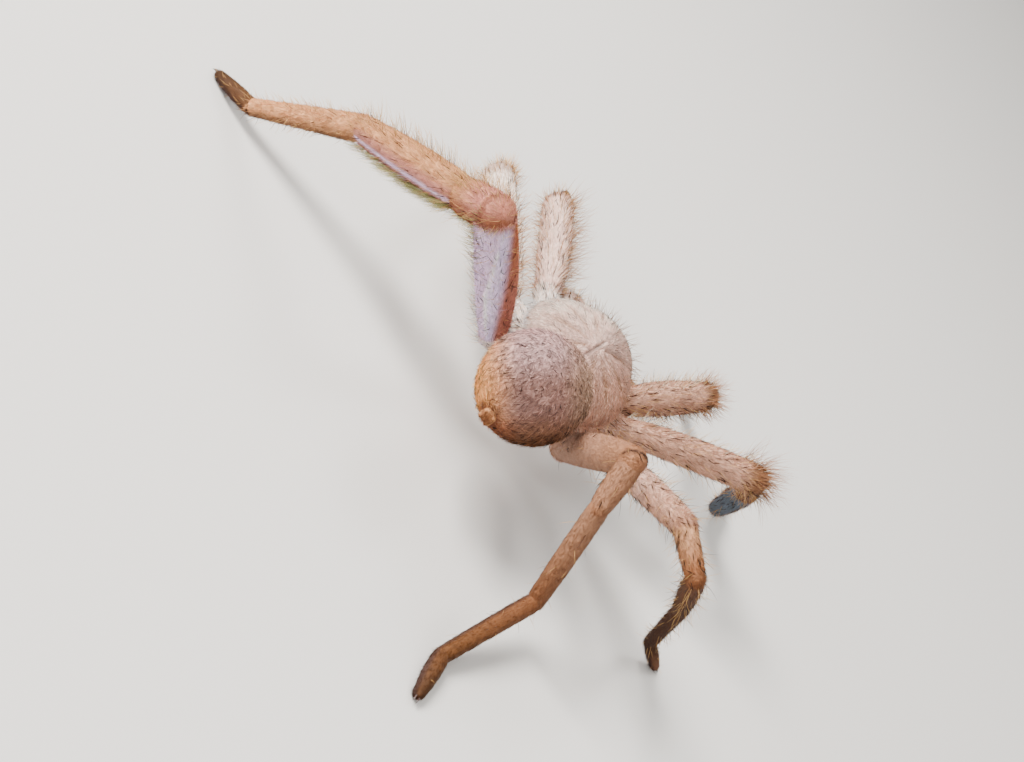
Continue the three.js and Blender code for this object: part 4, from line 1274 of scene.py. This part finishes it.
# The long hairs that stand out in the picture: leg, piece, where, density, lengths, radius, lean, root
# colour and how much lighter the tip is.
OUTLINE = facing(PHOTO_RIGHT + 0.4 * PHOTO_UP, -0.1, 0.5)
LONG_HAIRS = (
    ("left_2", "femur", facing(PHOTO_RIGHT), 9, (1.4, 2.9), 0.015, (5, 40), RUST_HAIR * 0.7, 2.6),
    ("left_2", "femur", facing(-PHOTO_RIGHT), 6, (0.9, 1.7), 0.015, (5, 40), RUST_HAIR * 1.3, 1.5),
    ("left_3", "femur", facing(PHOTO_RIGHT), 5, (1.0, 2.0), 0.015, (5, 40), RUST_HAIR * 1.4, 1.6),
    ("left_2", "femur", beyond(0.85, 0.97), 5, (0.8, 1.6), 0.014, (5, 50), GOLD_HAIR, 1.3),
    ("left_3", "femur", beyond(0.85, 0.97), 4, (0.8, 1.6), 0.014, (5, 50), GOLD_HAIR, 1.3),
    ("left_2", "patella", before(0.3, 0.6), 4, (0.8, 1.5), 0.014, (5, 45), GOLD_HAIR, 1.3),
    ("left_3", "patella", before(0.3, 0.6), 4, (0.8, 1.6), 0.014, (5, 45), GOLD_HAIR, 1.3),
    ("right_1", "femur", beyond(0.84, 0.97), 14, (1.1, 2.3), 0.015, (5, 55), FAN_HAIR, 2.4),
    ("right_1", "patella", both(before(0.5, 0.9), OUTLINE), 12, (1.1, 2.4), 0.015, (5, 50), FAN_HAIR, 2.4),
    ("right_2", "femur", both(beyond(0.84, 0.97), OUTLINE), 20, (1.2, 2.9), 0.017, (5, 55), FAN_HAIR, 2.0),
    ("right_2", "patella", both(before(0.6, 0.95), OUTLINE), 24, (1.2, 3.0), 0.017, (5, 50), FAN_HAIR, 2.0),
    ("right_1", "femur", facing(PHOTO_UP), 5, (0.8, 1.6), 0.015, (5, 45), PALE_HAIR, 1),
    # Partly painted shade: the rust hairs under the right front femur are darkened for the shadow between
    # the first two right legs.
    ("right_1", "femur", facing(-PHOTO_UP), 6, (1.0, 2.0), 0.015, (5, 45), RUST_HAIR * 0.6, 2.2),
    ("right_2", "femur", facing(PHOTO_UP), 5, (0.8, 1.6), 0.015, (5, 45), PALE_HAIR, 1),
    ("right_3", "femur", facing(PHOTO_UP), 4, (0.5, 1.0), 0.015, (15, 50), PALE_HAIR, 1),
    ("left_4", "patella", facing(PHOTO_UP), 10, (0.9, 2.0), 0.015, (5, 45), GOLD_HAIR * 0.8, 1.5),
    ("left_4", "tibia", facing(PHOTO_UP), 9, (0.9, 2.1), 0.015, (5, 45), GOLD_HAIR * 0.8, 1.5),
    ("left_4", "femur", facing(-PHOTO_RIGHT), 4, (0.7, 1.3), 0.015, (30, 55), DARK, 3),
    ("left_4", "metatarsus", facing(PHOTO_UP), 6, (0.5, 1.2), 0.015, (10, 50), GOLD_HAIR, 1.2),
)


def grow_long_hairs():
    coat = Coat(51)
    for leg, piece, where, density, length, radius, lean, tone, tip in LONG_HAIRS:
        shell = legs[leg][LEG_PIECES.index(piece)]
        coat.grow(shell, density, length, radius, lean, 0.3, 1, tip, 30, 3, where, tone)
    coat.build("coat_long_hairs", bristle)


def grow_fringe():
    """The combed pale fringe under the left hind tibia and patella, and beside the end of the femur, tinted
    olive as a painted reflection of green leaves.
    """
    coat = Coat(61)
    below = facing(-PHOTO_UP, 0.7, 0.9)
    beside = both(facing(-PHOTO_RIGHT, 0.5, 0.9), beyond(0.66, 0.74))
    _, femur, patella, tibia, *_ = legs["left_4"]
    coat.grow(tibia, 150, (1.2, 2.1), 0.014, (48, 72), 0.2, 1, 1.5, 10, 3, below, OLIVE_REFLECTION_HAIR, 0.35)
    coat.grow(patella, 40, (0.8, 1.5), 0.014, (45, 70), 0.3, 1, 1.5, 12, 3, below, OLIVE_REFLECTION_HAIR, 0.35)
    coat.grow(femur, 18, (0.9, 1.5), 0.017, (0, 20), 0.45, 1, 1.5, 6, 3, beside, OLIVE_REFLECTION_HAIR)
    coat.build("coat_fringe", bristle)


def grow_soles():
    """Short dense brushes under the feet."""
    coat = Coat(71)
    below = facing((0, 0, -1), 0.1, 0.6)
    for shells in legs.values():
        for shell, density in zip(shells[-2:], (50, 90)):
            coat.grow(shell, density, (0.16, 0.32), 0.014, (15, 50), 0.1, 1, 1.6, 20, 1, below, DARK * 1.3)
    coat.build("coat_soles", velvet)


def grow_dashes():
    """Short hairs that lie flat, one by one, as fine dashes, and the scribble over the abdomen."""
    coat = Coat(41)
    for leg, shells in legs.items():
        density = {"right_4": 0.1, "left_4": 0.9}.get(leg, 1.6)
        radius = 0.03 if leg == "left_4" else 0.04
        for shell in shells[:4]:
            coat.grow(shell, density, (0.45, 1.0), radius, (66, 76), 0.1, 1, 1, 14, 2, tone=BLACK)
    coat.grow(carapace, 1.2, (0.3, 0.7), 0.026, (60, 76), 0.06, 1, 1, 25, 2, tone=DARK)
    coat.grow(carapace, 10, (0.25, 0.55), 0.018, (66, 76), 0.1, 0.55, 1.1, 24, 2, off_fovea)
    coat.grow(carapace, 9, (0.25, 0.55), 0.018, (66, 76), 0.1, 1.25, 1.1, 24, 2, off_fovea)
    coat.grow(abdomen, 5, (0.3, 0.8), 0.026, (62, 76), 0.1, 0.22, 1, 45, 2)
    coat.grow(abdomen, 1.1, (0.3, 0.65), 0.036, (62, 74), 0.1, 1, 1, 40, 2, tone=BLACK)
    coat.grow(abdomen, 12, (0.3, 0.8), 0.018, (62, 76), 0.12, 0.5, 1, 30, 2)
    coat.grow(abdomen, 10, (0.4, 0.9), 0.018, (62, 76), 0.12, 1.4, 1.15, 30, 2)
    for leg, shells in legs.items():
        density, tone = (14, WHITE * 0.9) if leg.startswith("left") else (8, PINK_CREAM)
        coat.grow(shells[0], density, (0.3, 0.5), 0.032, (60, 74), 0.1, 1, 1.05, 20, 2, tone=tone)
        coat.grow(shells[0], 3, (0.2, 0.4), 0.04, (50, 70), 0.1, 1, 1, 30, 2, tone=BLACK)
    for shell in legs["right_4"][1:3]:
        coat.grow(shell, 120, (0.1, 0.2), 0.03, (50, 70), 0.1, 1, 1, 30, 1, at_knee, BLACK)
    coat.grow(carapace, 14, (0.25, 0.45), 0.03, (60, 74), 0.1, 1, 1.05, 20, 2, rim_band, WHITE * 0.9)
    coat.build("coat_dashes", bristle)


def grow_face():
    """Erect hairs on the head, the pale band under the eyes, and the bristles of chelicerae and palps."""
    coat = Coat(81)
    coat.grow(carapace, 6, (0.7, 1.6), 0.015, (0, 35), 0.25, 1, 2.5, 40, 3, front, RUST_HAIR * 0.5)
    coat.grow(carapace, 1.2, (0.3, 0.7), 0.014, (10, 50), 0.25, 1, 1.6, 40, 3, None, RUST_HAIR)
    coat.grow(carapace, 60, (0.35, 0.7), 0.015, (30, 60), 0.25, 1, 1.1, 12, 2, clypeus, PALE_HAIR)
    for shell in chelicerae.values():
        coat.grow(shell, 12, (0.35, 0.8), 0.013, (25, 60), 0.2, 1, 1.6, 20, 3, None, RUST_HAIR * 0.8)
        coat.grow(shell, 70, (0.3, 0.6), 0.013, (15, 45), 0.2, 1, 1.4, 20, 2, beyond(0.7, 0.9), RUST_HAIR)
    for shells in palps.values():
        for shell in shells[1:]:
            coat.grow(shell, 4, (0.4, 0.9), 0.012, (10, 50), 0.2, 1, 1.3, 25, 3, None, GOLD_HAIR)
            coat.grow(shell, 1.5, (0.4, 0.9), 0.014, (15, 50), 0.2, 1, 1.5, 25, 3, None, DARK)
        coat.grow(shells[-1], 60, (0.15, 0.3), 0.014, (20, 50), 0.1, 1, 1.5, 20, 1, None, DARK * 1.5)
    coat.build("coat_face", bristle)


grow_long_hairs()
grow_fringe()
grow_soles()
grow_dashes()
grow_face()


# Eyes, fangs and claws.
def finish_piece(thing, material, slot, *nodes):
    """Gives a piece its material and hides the nodes that it stands for; the slot is not used."""
    thing.data.materials.append(material)
    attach(thing, "root")
    if nodes:
        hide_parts(*nodes)


def make_eyes():
    glass = gloss_material("eye", 0x2A1A12, 0x0A0706, 0.08, 900)
    rings, sides = 18, 28
    turn = np.append(np.pi * np.repeat(np.arange(1, rings) / rings, sides), (0, np.pi))
    roll = np.append(2 * np.pi * np.tile(np.arange(sides) / sides, rings - 1), (0, 0))
    ball = np.stack((np.cos(turn), np.sin(turn) * np.cos(roll), np.sin(turn) * np.sin(roll)), axis=1)
    faces = reverse(closed_faces(rings, sides))
    for name, centre, radius, way in eye_places():
        ways = np.stack((way, *limb_axes(way)))
        finish_piece(build_mesh(f"{name}_lens", centre + radius * ball @ ways, faces), glass, "eyes", name)


def horn(root, ways, radius, count=14, sides=16):
    """A curved tapered point: ways gives the place, from the root, at a share along it."""
    points = []
    shares = np.linspace(0, 1, count)
    middles = np.array([root + ways(t) for t in shares])
    along = unit(np.gradient(middles, axis=0))
    for middle, way, t in zip(middles[:-1], along, shares):
        back, side = limb_axes(way)
        width = radius * (1 - t ** 1.6) ** 0.8
        for j in range(sides):
            turn = 2 * math.pi * j / sides
            points.append(middle + width * (math.cos(turn) * back + math.sin(turn) * side))
    return np.array([*points, middles[0], middles[-1]]), closed_faces(count, sides)


def make_fangs():
    shine = gloss_material("fang", 0x4A1C10, 0x120806, 0.18, 500)
    for name, side in SIDES.items():
        root = raised(CHELICERA["foot"], side) - (0, 0, 0.35 * CHELICERA["radii"][2] + 0.1)

        def ways(t):
            drop = -0.6 * FANG["length"] * math.sin(1.5 * t)
            return np.array((-side * FANG["inward"] * t * t, FANG["backward"] * t * t, drop - 0.15 * t))

        thing = build_mesh(f"fang_{name}_horn", *horn(root, ways, FANG["radius"]))
        finish_piece(thing, shine, "fangs", f"fang_{name}")


def make_claws():
    """Two claws to a foot, that rise and then bend down."""
    shine = gloss_material("claw", 0x3A1A10, 0x120806, 0.25, 500)
    points, faces = [], []
    for foot, sign in itertools.product([shells[-1] for shells in legs.values()], (1, -1)):
        tip = foot.end + (foot.r[-10] - 0.1) * foot.along
        way = unit(foot.along + CLAW["rise"] * foot.back)

        def ways(t):
            return CLAW["length"] * (way * t - CLAW["bend"] * foot.back * t * t)

        root = tip + sign * CLAW["apart"] * foot.side + 0.1 * foot.back
        some, sides = horn(root, ways, CLAW["radius"], 10, 10)
        some[:, 2] = np.maximum(some[:, 2], 0.03)
        faces += [part + len(some) * len(points) for part in sides]
        points.append(some)
    faces = [np.concatenate(faces[0::2]), np.concatenate(faces[1::2])]
    finish_piece(build_mesh("claws", np.concatenate(points), faces), shine, "fangs")


make_eyes()
make_fangs()
make_claws()


# The floor, the light and the camera.
def make_stage():
    bpy.ops.mesh.primitive_plane_add(size=4, location=(0, 0, 0))
    floor = bpy.context.object
    floor.name = "floor"
    material, tree, shader = new_material("floor")
    set_inputs(tree, shader, {"Base Color": (0.66, 0.65, 0.63, 1), "Roughness": 0.9})
    floor.data.materials.append(material)
    world = bpy.data.worlds.new("studio")
    bpy.context.scene.world = world
    world.use_nodes = True
    sky = world.node_tree.nodes["Background"]
    set_inputs(world.node_tree, sky, {"Color": (1.0, 0.97, 0.93, 1), "Strength": 0.6})


def place_object(name, data, right, up, back, spot):
    """Links a lamp or a camera that looks away from its back."""
    thing = bpy.data.objects.new(name, data)
    bpy.context.scene.collection.objects.link(thing)
    thing.matrix_world = Matrix([[right[k], up[k], back[k], spot[k]] for k in range(3)] + [[0, 0, 0, 1]])
    return thing


def add_light(name, place, size, power, tint):
    """A square lamp, in metres and watts, that shines on the spider's middle."""
    lamp = bpy.data.lights.new(name, "AREA")
    lamp.size = size
    lamp.energy = power
    lamp.color = tint
    away = unit(np.array(place) - (0, 0, 0.008))
    up, right = limb_axes(away)
    place_object(name, lamp, right, up, away, place)


def make_lights():
    add_light("key", (0.25, 0.11, 0.26), 0.14, 4.2, (1.0, 0.95, 0.90))
    add_light("fill", (-0.26, 0.24, 0.22), 0.25, 0.7, (1.0, 0.96, 0.92))
    add_light("side", (0.32, 0.30, 0.07), 0.2, 2.0, (0.97, 0.97, 1.0))
    add_light("back", (0.05, -0.55, 0.75), 0.3, 4.0, (1.0, 0.98, 0.95))


def make_camera():
    lens = bpy.data.cameras.new("photo")
    lens.sensor_fit = "HORIZONTAL"
    lens.sensor_width = 36
    lens.lens = CAMERA["lens"]
    lens.clip_start = 0.005
    lens.clip_end = 20
    back = -np.array(CAMERA["forward"])
    camera = place_object("photo", lens, PHOTO_RIGHT, PHOTO_UP, back, metres(CAMERA["place"]))
    bpy.context.scene.camera = camera


make_stage()
make_lights()
make_camera()
